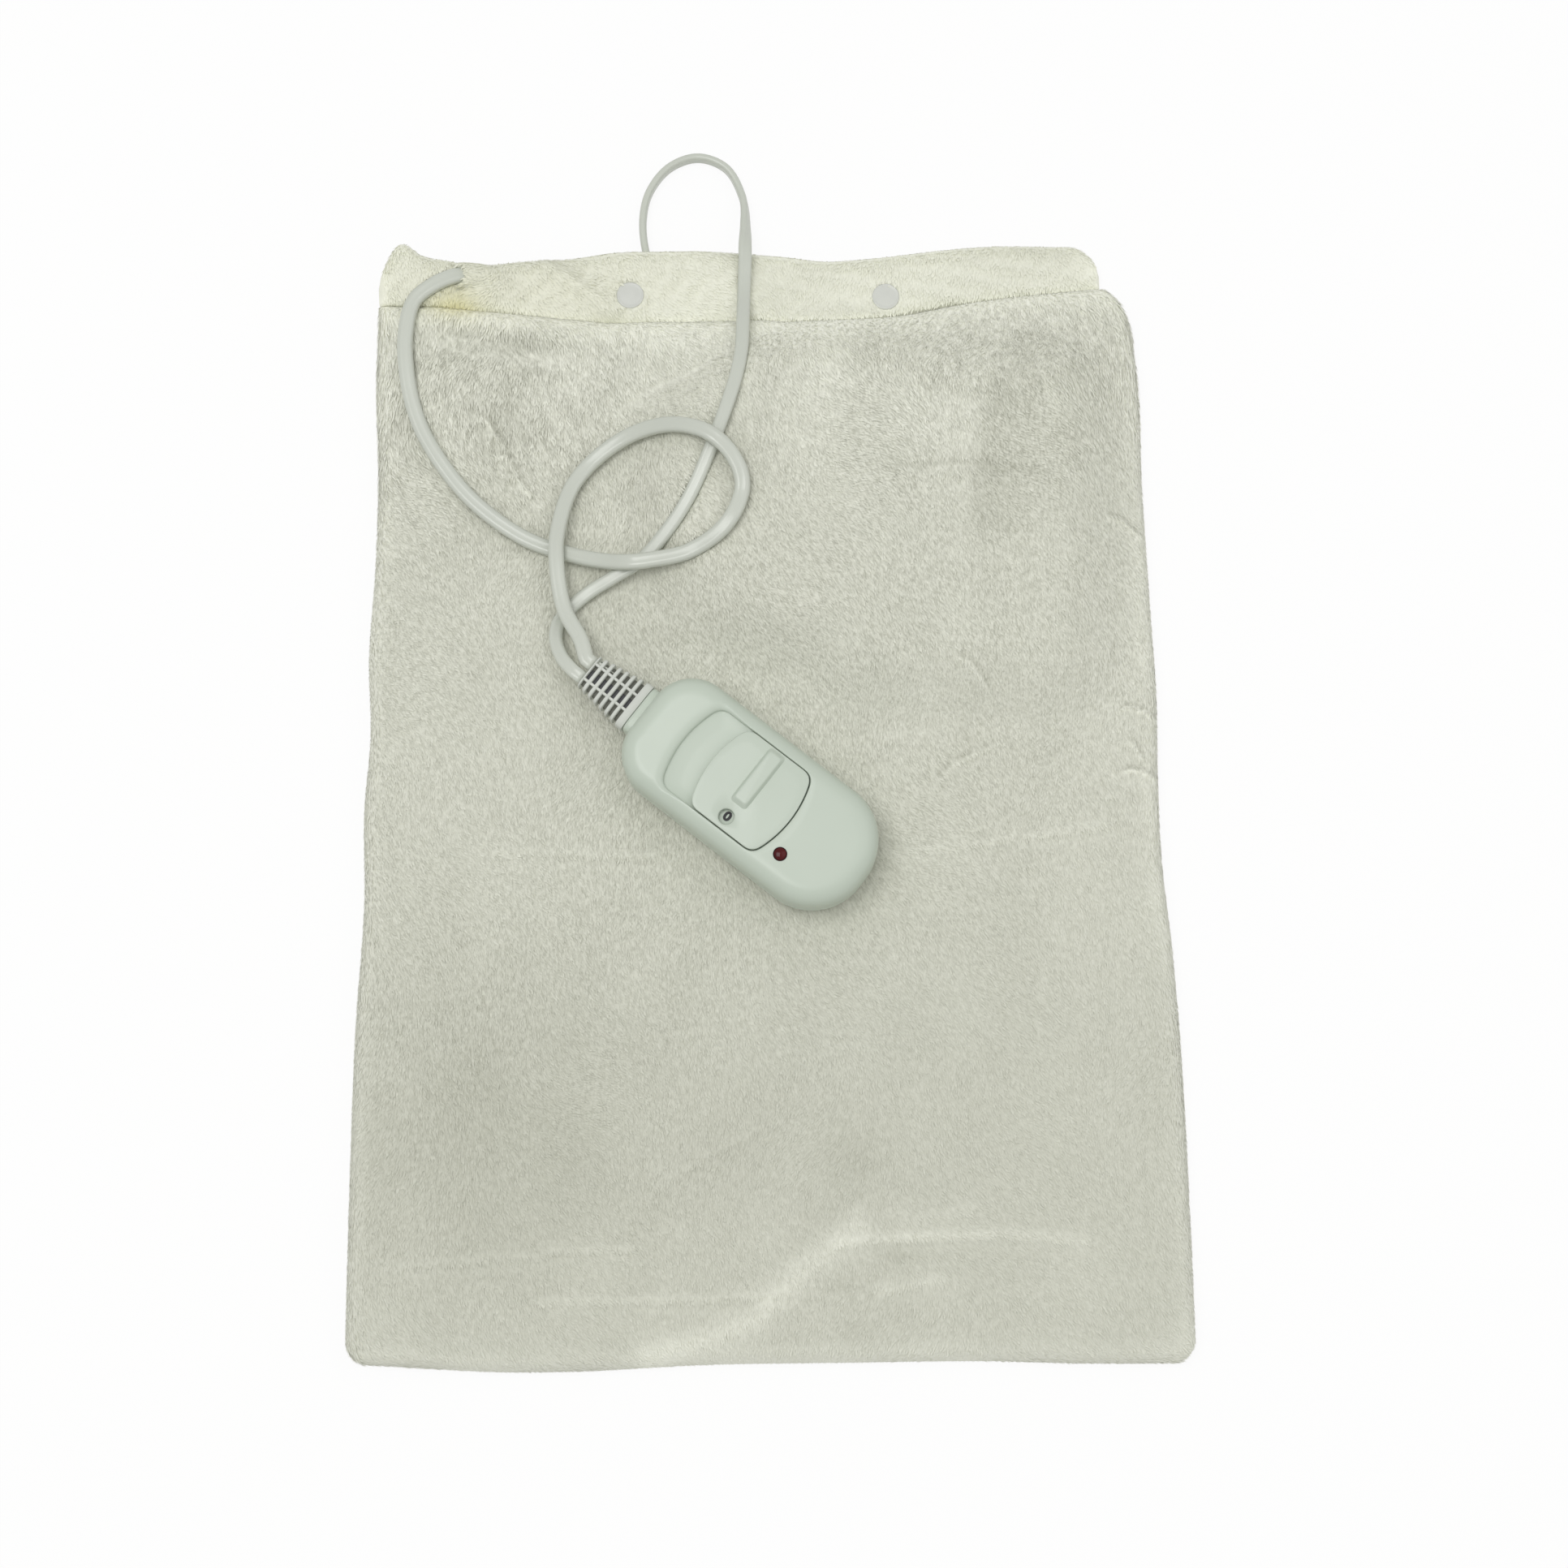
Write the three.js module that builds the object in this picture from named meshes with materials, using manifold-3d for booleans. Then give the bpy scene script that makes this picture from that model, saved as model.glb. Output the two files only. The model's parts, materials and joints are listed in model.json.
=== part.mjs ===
// Heating pad in a plush bag cover, with a slide controller lying on it, two cords and a mains plug.
// Millimetres, +Z up. The cover lies on z = 0, centred on the origin, with its mouth hem towards +Y.
import * as THREE from 'three';
import { mergeVertices } from 'three/addons/utils/BufferGeometryUtils.js';
import Module from 'manifold-3d';

// Clearance between pieces that touch, and how far a cutting solid runs past the face that it cuts
const FIT = 0.3;
const CUT = 1;

// Point halfway round a quarter arc, as a share of its radius, and the shoulder of a low dome
const MID_ARC = Math.SQRT1_2;
const DOME = { reach: 0.6, rise: 0.8 };

// Plush cover
const COVER_LENGTH = 441;
const COVER_BOTTOM_WIDTH = 325;
const COVER_TOP_WIDTH = 304;
const COVER_CORNER = 14;
const BACK_PLUSH = 3.2;
const FRONT_PLUSH = 4;
const CROWN_WIDTH = 26;
const CROWN_POWER = 2.2;
const HEM_WIDTH = 26;
const HEM_DRAW_IN = 8;
const HEM_DRAW_POWER = 1.5;
const PEAK_LIFT = 14;
const PEAK_REACH = 50;

// Inner pad
const PAD_MARGIN = 9;
const LINER = 0.8;
const FELT = 2;
const WIRE_DIAMETER = 1.6;
const WIRE_ROOM = 0.4;
const WIRE_CORNER = 5;
const WIRE_BEND = 0.05;
const THERMOSTAT = { length: 12, width: 6, height: 1.6, row: 3, column: 4 };
const JUNCTION = { length: 20, width: 22, height: 4.4, corner: 3, edge: 0.8, gap: 1.5, cell: 3 };

// Plan grid that every cloth layer shares, so that the layers nest
const GRID_COLUMNS = 11;
const GRID_ROWS = 14;
const HEM_ROWS = 3;
const EDGE_SHARES = [0, 0.2, 0.6];

// Snap fasteners on the hem
const SNAP_SPACING = 103;
const SNAP_OFFSET = 1.5;
const SNAP_DROP = 18;
const SNAP_CAP_RADIUS = 5.5;
const SNAP_CAP_HEIGHT = 1.2;
const SNAP_CAP_CROWN = 0.8;
const SNAP_POST_RADIUS = 1.3;
const SNAP_KNOB_RADIUS = 2.6;
const SNAP_KNOB_HEIGHT = 1.3;
const SNAP_PLATE_RADIUS = 4.3;
const SNAP_PLATE_HEIGHT = 1.7;

// Cords
const PAD_CORD = { width: 6.2, thickness: 4.2 };
const MAINS_CORD = { width: 5.4, thickness: 3.2 };
const CORD_STEP = 13;

// Slit in the hem where the pad cord comes out, with the front cloth raised over the cord
const SLIT_ROOM = 1;
const SLIT_STEP = 4;
const SLIT_POINTS = 11;
const TUNNEL_LINE = [[-112, 208], [-86, 196]];
const TUNNEL_LIFT = 6;
const TUNNEL_REACH = 12;
const TUNNEL_SLOPE = 22;

// Put-away mains cord, in a coil under the pad
const COIL_X = 25;
const COIL_Y = 121;
const COIL_INNER = 21;
const COIL_PITCH = 5;
const COIL_TURNS = 3.5;
const COIL_LAYER_GAP = 0.5;
const COIL_CLIMB = 0.25;
const COIL_STEPS = 24;
const TIE_THICKNESS = 1;
const TIE_WIDTH = 6;
const TAIL_STEPS = 6;
const PLUG_GAP = 2.6;
const STORE_ROOM = 1;
const STORE_MARGIN = 12;
const STORE_SLOPE = 34;
const RIDGE_LINE = [[-43, 11.5], [-38, -8.5], [-10, -38.5]].map(([x, rise]) => [x, COVER_LENGTH / 2 + rise]);
const RIDGE_REACH = 14;
const RIDGE_SLOPE = 26;

// Plug
const PLUG_LENGTH = 36;
const PLUG_WIDTH = 35.3;
const PLUG_NOSE_WIDTH = 13;
const PLUG_NOSE_LENGTH = 15;
const PLUG_THICKNESS = 13.7;
const PLUG_EDGE = 3;
const PIN_DIAMETER = 4;
const PIN_LENGTH = 19;
const PIN_SEAT = 8;
const PIN_SPACING = 18.6;

// Controller case, in its own frame: +X towards the cords, z = 0 on the pad
const CASE_X = -4.6;
const CASE_Y = -4.9;
const CASE_TURN = 141.2;
const CASE_LENGTH = 106;
const CASE_WIDTH = 50;
const CASE_HEIGHT = 25;
const CASE_NEAR_CORNER = 17;
const CASE_FAR_CORNER = 23;
const CASE_EDGE = 7;
const CASE_WALL = 2.2;
const CASE_PARTING = 11.5;
const NECK_LENGTH = 3;
const NECK_WIDTH = 20.5;
const NECK_HEIGHT = 12;
const NECK_CORNER = 2.5;
const NECK_EDGE = 1;

// Slider and its channel
const SLIDER_LENGTH = 37.7;
const SLIDER_WIDTH = 37;
const SLIDER_BULGE = 3.8;
const SLIDER_SHOULDER = 1.33;
const SLIDER_CORNER = 4;
const SLIDER_PLATE = 3;
const SLIDER_EDGE = 0.6;
const SLIDER_TRAVEL = 13.2;
const SLIDER_STEPS = 3;
const SLIDER_X = -0.45;
const CHANNEL_DEPTH = 2.7;
const CHANNEL_FLOOR = 2;
const WINDOW_RADIUS = 3;
const WINDOW_X = 0.6;
const WINDOW_Y = 13.6;
const RIB_WIDTH = 5.6;
const RIB_HEIGHT = 2;
const RIB_EDGE = 1;
const RIB_FROM = -17;
const RIB_TO = 7.6;
const STEM = { length: 8, width: 5 };
const CARRIAGE = { from: -15.5, to: 9, width: 16, height: 2.5 };
const NOTCH_DEPTH = 0.6;
const NOTCH_WIDTH = 2.4;
const DETENT_THICKNESS = 0.5;
const DETENT_HEIGHT = 1.9;
const DETENT_ARM = 13;
const DETENT_RISE = 1.7;
const POST = { length: 3, width: 1.8, height: 2.6 };

// Switch, lamp and parts on the board
const BOARD = { from: -44, to: 33, width: 30, height: 1.6, level: 8.2, corner: 3 };
const BOARD_BOSS_RADIUS = 2.5;
const BOARD_BOSS_INSET = 6;
const SWITCH_BASE = { from: -4, to: 24, width: 14, height: 4 };
const CONTACT = { length: 3.4, width: 9, height: 0.5 };
const WIPER_STRIP = 0.4;
const WIPER_WIDTH = 6;
const WIPER_TAIL = 6;
const WIPER_TIP = 6;
const WIPER_TOE = 2;
const LENS_X = -24.3;
const LENS_Y = 12.4;
const LENS_RADIUS = 2.75;
const LENS_FLANGE = 0.7;
const LENS_FLANGE_HEIGHT = 1;
const LENS_DOME = 0.5;
const LAMP_RADIUS = 2.4;
const RESISTOR = { radius: 1.5, length: 9, x: -37, y: -7 };
const CAPACITOR = { length: 6, width: 13, height: 9, x: -37, y: 7, corner: 1, edge: 0.6 };
const FUSE = { radius: 2, length: 12, x: -20, y: -11 };
const TERMINAL = { length: 8, width: 8.2, height: 6.6, x: 29 };

// Cord boot, clamp and screws
const BOOT_LENGTH = 24;
const BOOT_WIDE = 21;
const BOOT_NARROW = 14.6;
const BOOT_HEIGHT = 9;
const BOOT_EDGE = 0.8;
const BOOT_FLANGE = 2.6;
const BOOT_SHANK = { width: 15, height: 6.6 };
const BOOT_KEEPER = { length: 2, width: 18, height: 9 };
const BOOT_SLOT_ROWS = 7;
const BOOT_SLOT = 1.5;
const BOOT_BAR = 1;
const BOOT_WINDOW = 5;
const PAD_CORD_Y = -3.3;
const MAINS_CORD_Y = 3.4;
const CLAMP = { length: 6, width: 24, height: 2.4 };
const CLAMP_SCREW_Y = 9;
const SCREW_RADIUS = 1.2;
const SCREW_HEAD_RADIUS = 2.5;
const SCREW_HEAD_HEIGHT = 1.8;
const SCREW_TIP_ROOM = 2;
const CASE_SCREW_X = [-30, 38];
const CASE_SCREW_Y = 19.6;
const CASE_SCREW_TOP = 17;
const CASE_SCREW_SINK = 3;
const CASE_BOSS_RADIUS = 3.6;

const { PI, abs, cos, hypot, max, min, sin, sqrt } = Math;
const wasm = await Module();
wasm.setup();
const part = new THREE.Group();

// Materials
function finish(color, roughness, metalness = 0) {
  return new THREE.MeshStandardMaterial({ color, roughness, metalness });
}
const PLUSH = finish(0xe3dccb, 0.95);
const HEM_PLUSH = finish(0xe9e3d0, 0.95);
const SNAP_PLASTIC = finish(0xe4e5dc, 0.4);
const LINER_CLOTH = finish(0xe8e4d6, 0.9);
const FELT_CLOTH = finish(0xd8d2c2, 0.95);
const WIRE_SHEATH = finish(0xc9b7a2, 0.6);
const CASE_PLASTIC = finish(0xdfe8e3, 0.35);
const BOOT_RUBBER = finish(0xb9b6b3, 0.55);
const CORD_PVC = finish(0xaeb6b2, 0.5);
const PLUG_PVC = finish(0xaab1ae, 0.5);
const LENS_RED = finish(0x2a0606, 0.15);
const LAMP_GLASS = finish(0xd9cfc0, 0.1);
const SPRING_STEEL = finish(0xb4b7ba, 0.3, 1);
const BRASS = finish(0xc2a25a, 0.35, 1);
const NICKEL = finish(0xc9cacb, 0.25, 1);
const BOARD_GREEN = finish(0x3f6b46, 0.6);
const DARK_PLASTIC = finish(0x3a3d40, 0.5);
const PART_BLUE = finish(0x4e6f93, 0.45);
const PART_TAN = finish(0xb89b74, 0.6);
const TIE_BLACK = finish(0x2b2b2b, 0.6);

// Adds a named piece to a group
function piece(group, name, geometry, material) {
  const mesh = new THREE.Mesh(geometry, material);
  mesh.name = name;
  group.add(mesh);
}

// Closed mesh to solid, and solid back to mesh
function solid(geometry) {
  const bare = geometry.clone();
  bare.deleteAttribute('normal');
  bare.deleteAttribute('uv');
  const merged = mergeVertices(bare, 1e-4);
  const vertProperties = Float32Array.from(merged.attributes.position.array);
  const triVerts = Uint32Array.from(merged.index.array);
  return new wasm.Manifold(new wasm.Mesh({ numProp: 3, vertProperties, triVerts }));
}
function geometryOf(shape) {
  const mesh = shape.getMesh();
  const geometry = new THREE.BufferGeometry();
  geometry.setAttribute('position', new THREE.BufferAttribute(mesh.vertProperties, 3));
  geometry.setIndex(new THREE.BufferAttribute(mesh.triVerts, 1));
  return geometry;
}
function joined(geometries) {
  return geometries.map(solid).reduce((all, next) => all.add(next));
}

// Box between two corners
function block(x0, x1, y0, y1, z0, z1) {
  const box = new THREE.BoxGeometry(x1 - x0, y1 - y0, z1 - z0);
  return box.translate((x0 + x1) / 2, (y0 + y1) / 2, (z0 + z1) / 2);
}
// Box across the controller's middle line
function bridge(x0, x1, width, z0, z1) {
  return block(x0, x1, -width / 2, width / 2, z0, z1);
}
// Upright round bar, and several alike joined
function bar(x, y, radius, z0, z1, sides = 12) {
  const rod = new THREE.CylinderGeometry(radius, radius, z1 - z0, sides);
  return rod.rotateX(PI / 2).translate(x, y, (z0 + z1) / 2);
}
function bars(places, radius, z0, z1) {
  return joined(places.map(([x, y]) => bar(x, y, radius, z0, z1)));
}
// Places at a distance to both sides of the middle line
function bothSides(xs, y) {
  return xs.flatMap((x) => [[x, -y], [x, y]]);
}
// Turned piece about Z from (radius, height) points that close on themselves or on the axis
function turned(points, sides = 16) {
  const profile = points.map(([r, z]) => new THREE.Vector2(r, z));
  return new THREE.LatheGeometry(profile, sides).rotateX(PI / 2);
}
// Closed ring profile: the last point repeats the first
function turnedRing(points, sides = 16) {
  return turned([...points, points[0]], sides);
}
// Outline raised from z0 to z1, with its top and bottom edges rounded
function raised(outline, z0, z1, edge, edgeSteps = 1, curveSegments = 2) {
  const depth = z1 - z0 - 2 * edge;
  const options = { depth, curveSegments, bevelEnabled: edge > 0, bevelSegments: edgeSteps };
  Object.assign(options, { bevelSize: edge, bevelThickness: edge, bevelOffset: -edge });
  return new THREE.ExtrudeGeometry(outline, options).translate(0, 0, z0 + edge);
}

// Cover plan
const COVER_BOTTOM = -COVER_LENGTH / 2;
const COVER_TOP = COVER_LENGTH / 2;
const SEAM_Y = COVER_TOP - HEM_WIDTH;
const PAD_BOTTOM = COVER_BOTTOM + PAD_MARGIN;
const PAD_TOP = SEAM_Y - PAD_MARGIN;
const STACK = 4 * FIT + 2 * LINER + 2 * FELT + WIRE_DIAMETER + 2 * WIRE_ROOM;
const PLUSH_TOP = BACK_PLUSH + STACK + FRONT_PLUSH;

// Half the cover's width at a length: a straight taper, round bottom corners and a hem that slopes in
function halfWidth(y) {
  const along = (y - COVER_BOTTOM) / (SEAM_Y - COVER_BOTTOM);
  const straight = THREE.MathUtils.lerp(COVER_BOTTOM_WIDTH, COVER_TOP_WIDTH, min(along, 1)) / 2;
  const rest = max(COVER_CORNER - (y - COVER_BOTTOM), 0);
  const corner = COVER_CORNER - sqrt(COVER_CORNER ** 2 - rest ** 2);
  const hem = HEM_DRAW_IN * max((y - SEAM_Y) / HEM_WIDTH, 0) ** HEM_DRAW_POWER;
  return straight - corner - hem;
}
// Column lines: 0 and GRID_COLUMNS + 2 are the cover's sides, the rest spread over the pad
function columnX(column, y) {
  const half = halfWidth(y);
  if (column === 0) return -half;
  if (column === GRID_COLUMNS + 2) return half;
  return (half - PAD_MARGIN) * (2 * (column - 1) / GRID_COLUMNS - 1);
}
function spread(from, to, count) {
  return Array.from({ length: count + 1 }, (_, i) => from + (to - from) * i / count);
}
const PAD_LINES = spread(PAD_BOTTOM, PAD_TOP, GRID_ROWS);
const EDGE_LINES = EDGE_SHARES.map((share) => COVER_BOTTOM + share * PAD_MARGIN);
const PANEL_LINES = [...EDGE_LINES, ...PAD_LINES, SEAM_Y - FIT / 2];
const HEM_LINES = spread(SEAM_Y + FIT / 2, COVER_TOP, HEM_ROWS);

// Put-away coil and plug: sizes that the cloth above them follows
const COIL_OUTER = COIL_INNER + COIL_PITCH * COIL_TURNS;
const COIL_LOW = 2 * FIT + TIE_THICKNESS + MAINS_CORD.width / 2;
const COIL_RISE = MAINS_CORD.width + COIL_LAYER_GAP;
const COIL_HIGH = COIL_LOW + COIL_RISE;
const TIE_TOP = COIL_HIGH + MAINS_CORD.width / 2 + FIT + TIE_THICKNESS;
const PLUG_X = COIL_X + COIL_OUTER + MAINS_CORD.thickness / 2 + PLUG_GAP + PLUG_WIDTH / 2;
const PLUG_TOP = PLUG_THICKNESS + FIT;
const STORE_HEIGHT = max(TIE_TOP, PLUG_TOP) + STORE_ROOM;
const RIDGE_HEIGHT = MAINS_CORD.width + STORE_ROOM;

// Controller's place on the pad, and points straight out of its boot for the cords that leave it
const controller = new THREE.Group();
controller.position.set(CASE_X, CASE_Y, PLUSH_TOP + FIT);
controller.rotation.z = THREE.MathUtils.degToRad(CASE_TURN);
controller.updateMatrix();
part.add(controller);
const CASE_FAR = -(CASE_LENGTH + NECK_LENGTH) / 2;
const CASE_NEAR = CASE_FAR + CASE_LENGTH;
const NECK_END = CASE_NEAR + NECK_LENGTH;
const BOOT_END = NECK_END + FIT + BOOT_LENGTH;
const CORD_Z = CASE_PARTING + FIT / 2;
function beyondBoot(boreY, distance) {
  return new THREE.Vector3(BOOT_END + distance, boreY, CORD_Z).applyMatrix4(controller.matrix).toArray();
}

// Junction block's place, in an open cell of the felt
const NOTCH_LINE = GRID_ROWS - 1;
const JUNCTION_X = (columnX(JUNCTION.cell, PAD_TOP) + columnX(JUNCTION.cell + 1, PAD_TOP)) / 2;
const JUNCTION_FOOT = PAD_LINES[NOTCH_LINE] + JUNCTION.gap;
const JUNCTION_HEAD = JUNCTION_FOOT + JUNCTION.length;
const JUNCTION_LIFT = max(...[-1, 0, 1].flatMap((side) => [JUNCTION_FOOT, JUNCTION_HEAD, PAD_TOP].map(
  (y) => underside(JUNCTION_X + side * JUNCTION.width / 2, y),
)));
const JUNCTION_Z = JUNCTION_LIFT + BACK_PLUSH + 3 * FIT + LINER;
const INNER_CORD_Z = JUNCTION_Z + JUNCTION.height / 2;
const INNER_CORD_END = PAD_TOP + FIT;

// Mains cord from the boot to the coil: x, y, z and roll from flat (0) to on edge (1)
const MAINS_ROUTE = [
  beyondBoot(MAINS_CORD_Y, FIT),
  beyondBoot(MAINS_CORD_Y, MAINS_CORD.width),
  [-76.8, 51.0, 25.4],
  [-79.6, 59.6, 21.6],
  [-78.2, 67.4, 19.4],
  [-68.6, 77.1, 19.2],
  [-57.5, 83.6, 21.6],
  [-45.9, 90.2, 23.9],
  [-35.0, 101.5, 27.8],
  [-26.3, 114.4, 30.6],
  [-16.5, 136.2, 33.6],
  [-8.3, 159.3, 33.4],
  [-5.4, 174.0, 28.8],
  [-4.8, 185.9, 24.6],
  [-4.2, 202.9, 14.8],
  [-3.6, 216.7, 13.8],
  [-3.5, 223.5, 13.2, 0.2],
  [-3.3, 232.0, 8.2, 0.6],
  [-4.3, 247.0, 3.4, 1],
  [-10.8, 260.0, 3.0, 1],
  [-22.3, 264.8, 3.0, 1],
  [-34.0, 260.8, 3.0, 1],
  [-42.3, 250.4, 3.0, 1],
  [-45.1, 238.3, 3.0, 1],
  [-43.8, 223.6, 3.0, 1],
  [-39.4, 211.0, 3.0, 1],
  [-29.5, 199.5, 3.0, 1],
  [-17.5, 187.8, 3.0, 1],
  [-8.0, 175.5, 3.4, 1],
  [1.5, 165.8, 4.0, 1],
  [COIL_X - 2 * MAINS_CORD.width - FIT, COIL_Y + COIL_OUTER, COIL_LOW, 1],
  [COIL_X - MAINS_CORD.width - FIT, COIL_Y + COIL_OUTER, COIL_LOW, 1],
];
// Pad cord inside the cover, and from there through the slit to the boot: x, y, z
const PAD_INNER_ROUTE = [
  [JUNCTION_X, JUNCTION_HEAD + FIT, INNER_CORD_Z],
  [JUNCTION_X, INNER_CORD_END, INNER_CORD_Z],
];
const PAD_ROUTE = [
  [JUNCTION_X, INNER_CORD_END + FIT, INNER_CORD_Z],
  [JUNCTION_X, 191.5, 6.4],
  [-81.0, 198.0, 6.2],
  [-86.0, 203.0, 6.9],
  [-92.0, 206.4, 8.8],
  [-99.5, 209.0, 10.8],
  [-107.0, 210.6, 13.8],
  [-114.0, 211.0, 16.8],
  [-120.2, 209.8, 18.8],
  [-128.1, 206.2, 19.6],
  [-136.2, 199.4, 19.4],
  [-139.4, 186.0, 19.2],
  [-139.2, 172.9, 19.0],
  [-136.6, 157.5, 18.6],
  [-131.1, 142.7, 18.4],
  [-114.7, 118.9, 18.9],
  [-93.9, 102.0, 19.2],
  [-78.0, 95.2, 19.2],
  [-61.9, 90.4, 23.0],
  [-49.6, 88.2, 28.8],
  [-42.6, 88.7, 29.4],
  [-26.7, 91.9, 30.2],
  [-12.2, 101.4, 34.6],
  [-5.7, 116.0, 35.0],
  [-8.7, 127.1, 36.8],
  [-18.0, 136.8, 38.2],
  [-32.4, 142.3, 33.0],
  [-48.7, 141.3, 24.4],
  [-63.4, 132.8, 20.4],
  [-73.0, 121.2, 20.6],
  [-78.3, 104.1, 23.2],
  [-79.2, 92.5, 24.2],
  [-76.1, 70.9, 25.0],
  [-69.4, 57.6, 27.4],
  beyondBoot(PAD_CORD_Y, PAD_CORD.thickness),
  beyondBoot(PAD_CORD_Y, FIT),
];

function ease(share) {
  const t = THREE.MathUtils.clamp(share, 0, 1);
  return t * t * (3 - 2 * t);
}
function toSegment(x, y, [ax, ay], [bx, by]) {
  const along = ((x - ax) * (bx - ax) + (y - ay) * (by - ay)) / ((bx - ax) ** 2 + (by - ay) ** 2);
  const t = THREE.MathUtils.clamp(along, 0, 1);
  return hypot(x - ax - t * (bx - ax), y - ay - t * (by - ay));
}
// Height of the cover's underside: raised over the coil, the plug and the cord that leads to them
function underside(x, y) {
  const pinTip = COIL_Y - FIT - PLUG_LENGTH - PIN_LENGTH;
  const tailTop = COIL_Y + COIL_OUTER / 2;
  const overCoil = hypot(x - COIL_X, y - COIL_Y) - COIL_OUTER - STORE_MARGIN;
  const besidePlug = max(abs(x - PLUG_X) - PLUG_WIDTH / 2 - STORE_MARGIN, 0);
  const pastPlug = max(abs(y - (tailTop + pinTip) / 2) - (tailTop - pinTip) / 2 - STORE_MARGIN, 0);
  const store = STORE_HEIGHT * (1 - ease(min(overCoil, hypot(besidePlug, pastPlug)) / STORE_SLOPE));
  const [start, bend, end] = RIDGE_LINE;
  const offRidge = min(toSegment(x, y, start, bend), toSegment(x, y, bend, end)) - RIDGE_REACH;
  const ridge = RIDGE_HEIGHT * (1 - ease(offRidge / RIDGE_SLOPE));
  const peak = PEAK_LIFT * (1 - ease(hypot(x + COVER_TOP_WIDTH / 2, y - COVER_TOP) / PEAK_REACH));
  return max(store, ridge) + peak;
}
// Extra height of the front cloth over the pad cord at the slit
function tunnel(x, y) {
  return TUNNEL_LIFT * (1 - ease((toSegment(x, y, ...TUNNEL_LINE) - TUNNEL_REACH) / TUNNEL_SLOPE));
}
// Crown: 0 on the cover's outline, 1 where the pad is full
function rise(inset) {
  const short = 1 - min(max(inset, 0) / CROWN_WIDTH, 1);
  return (1 - short ** CROWN_POWER) ** (1 / CROWN_POWER);
}
function crown(x, y) {
  return rise(halfWidth(y) - abs(x)) * rise(y - COVER_BOTTOM) * rise(SEAM_Y - FIT / 2 - y);
}
// Height inside the stack between the two plush panels: level 0 on the back, STACK under the front
function stackHeight(x, y, level) {
  const room = FIT + crown(x, y) * (STACK - FIT);
  return underside(x, y) + BACK_PLUSH + level / STACK * room;
}
function frontUnder(x, y) {
  return stackHeight(x, y, STACK) + tunnel(x, y);
}

// Cloth layer: a closed sheet between two heights over a stretch of the plan grid
function sheet(lines, from, to, low, high, open = () => false) {
  const columns = to - from;
  const positions = [];
  const index = [];
  const at = (side, row, column) => (row * (columns + 1) + column) * 2 + side;
  for (const y of lines) {
    for (let column = from; column <= to; column += 1) {
      const x = columnX(column, y);
      positions.push(x, y, low(x, y), x, y, high(x, y));
    }
  }
  const filled = (row, column) => row >= 0 && row < lines.length - 1 && column >= 0 && column < columns
    && !open(row, column + from);
  const quad = (a, b, c, d) => index.push(a, b, c, a, c, d);
  const wall = (r0, c0, r1, c1) => quad(at(0, r0, c0), at(0, r1, c1), at(1, r1, c1), at(1, r0, c0));
  for (let row = 0; row < lines.length - 1; row += 1) {
    for (let column = 0; column < columns; column += 1) {
      if (!filled(row, column)) continue;
      quad(at(1, row, column), at(1, row, column + 1), at(1, row + 1, column + 1), at(1, row + 1, column));
      quad(at(0, row, column), at(0, row + 1, column), at(0, row + 1, column + 1), at(0, row, column + 1));
      if (!filled(row - 1, column)) wall(row, column, row, column + 1);
      if (!filled(row + 1, column)) wall(row + 1, column + 1, row + 1, column);
      if (!filled(row, column - 1)) wall(row + 1, column, row, column);
      if (!filled(row, column + 1)) wall(row, column + 1, row + 1, column + 1);
    }
  }
  const geometry = new THREE.BufferGeometry();
  geometry.setAttribute('position', new THREE.Float32BufferAttribute(positions, 3));
  geometry.setIndex(index);
  return geometry;
}

// Cord sections with their wide side along X: corners as shares of half the width and half the thickness
const EIGHT_SIDED = [[1, 0.42], [0.66, 1], [-0.66, 1], [-1, 0.42],
  [-1, -0.42], [-0.66, -1], [0.66, -1], [1, -0.42]];
const SIX_SIDED = [[1, 0], [0.6, 1], [-0.6, 1], [-1, 0], [-0.6, -1], [0.6, -1]];
function cordSection({ width, thickness }, corners = EIGHT_SIDED, grow = 0) {
  const a = width / 2 + grow;
  const b = thickness / 2 + grow;
  return new THREE.Shape(corners.map(([u, v]) => new THREE.Vector2(a * u, b * v)));
}
// Path through stations, whose section keeps level and rolls by a share of a quarter turn
class CordPath extends THREE.Curve {
  constructor(stations, rolls) {
    super();
    this.stations = stations;
    this.rolls = rolls;
  }

  getPoint(t, target = new THREE.Vector3()) {
    return target.copy(this.stations[Math.round(t * (this.stations.length - 1))]);
  }

  getPointAt(t, target) {
    return this.getPoint(t, target);
  }

  computeFrenetFrames(segments) {
    const last = this.stations.length - 1;
    const frames = { tangents: [], normals: [], binormals: [] };
    for (let i = 0; i <= segments; i += 1) {
      const ahead = this.stations[min(i + 1, last)];
      const tangent = ahead.clone().sub(this.stations[max(i - 1, 0)]).normalize();
      const level = new THREE.Vector3(-tangent.y, tangent.x, 0).normalize();
      const normal = level.applyAxisAngle(tangent, this.rolls[i] * PI / 2);
      frames.tangents.push(tangent);
      frames.normals.push(normal);
      frames.binormals.push(tangent.clone().cross(normal));
    }
    return frames;
  }
}
function cord(stations, rolls, section) {
  const extrudePath = new CordPath(stations, rolls);
  return new THREE.ExtrudeGeometry(section, { steps: stations.length - 1, extrudePath });
}
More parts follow.
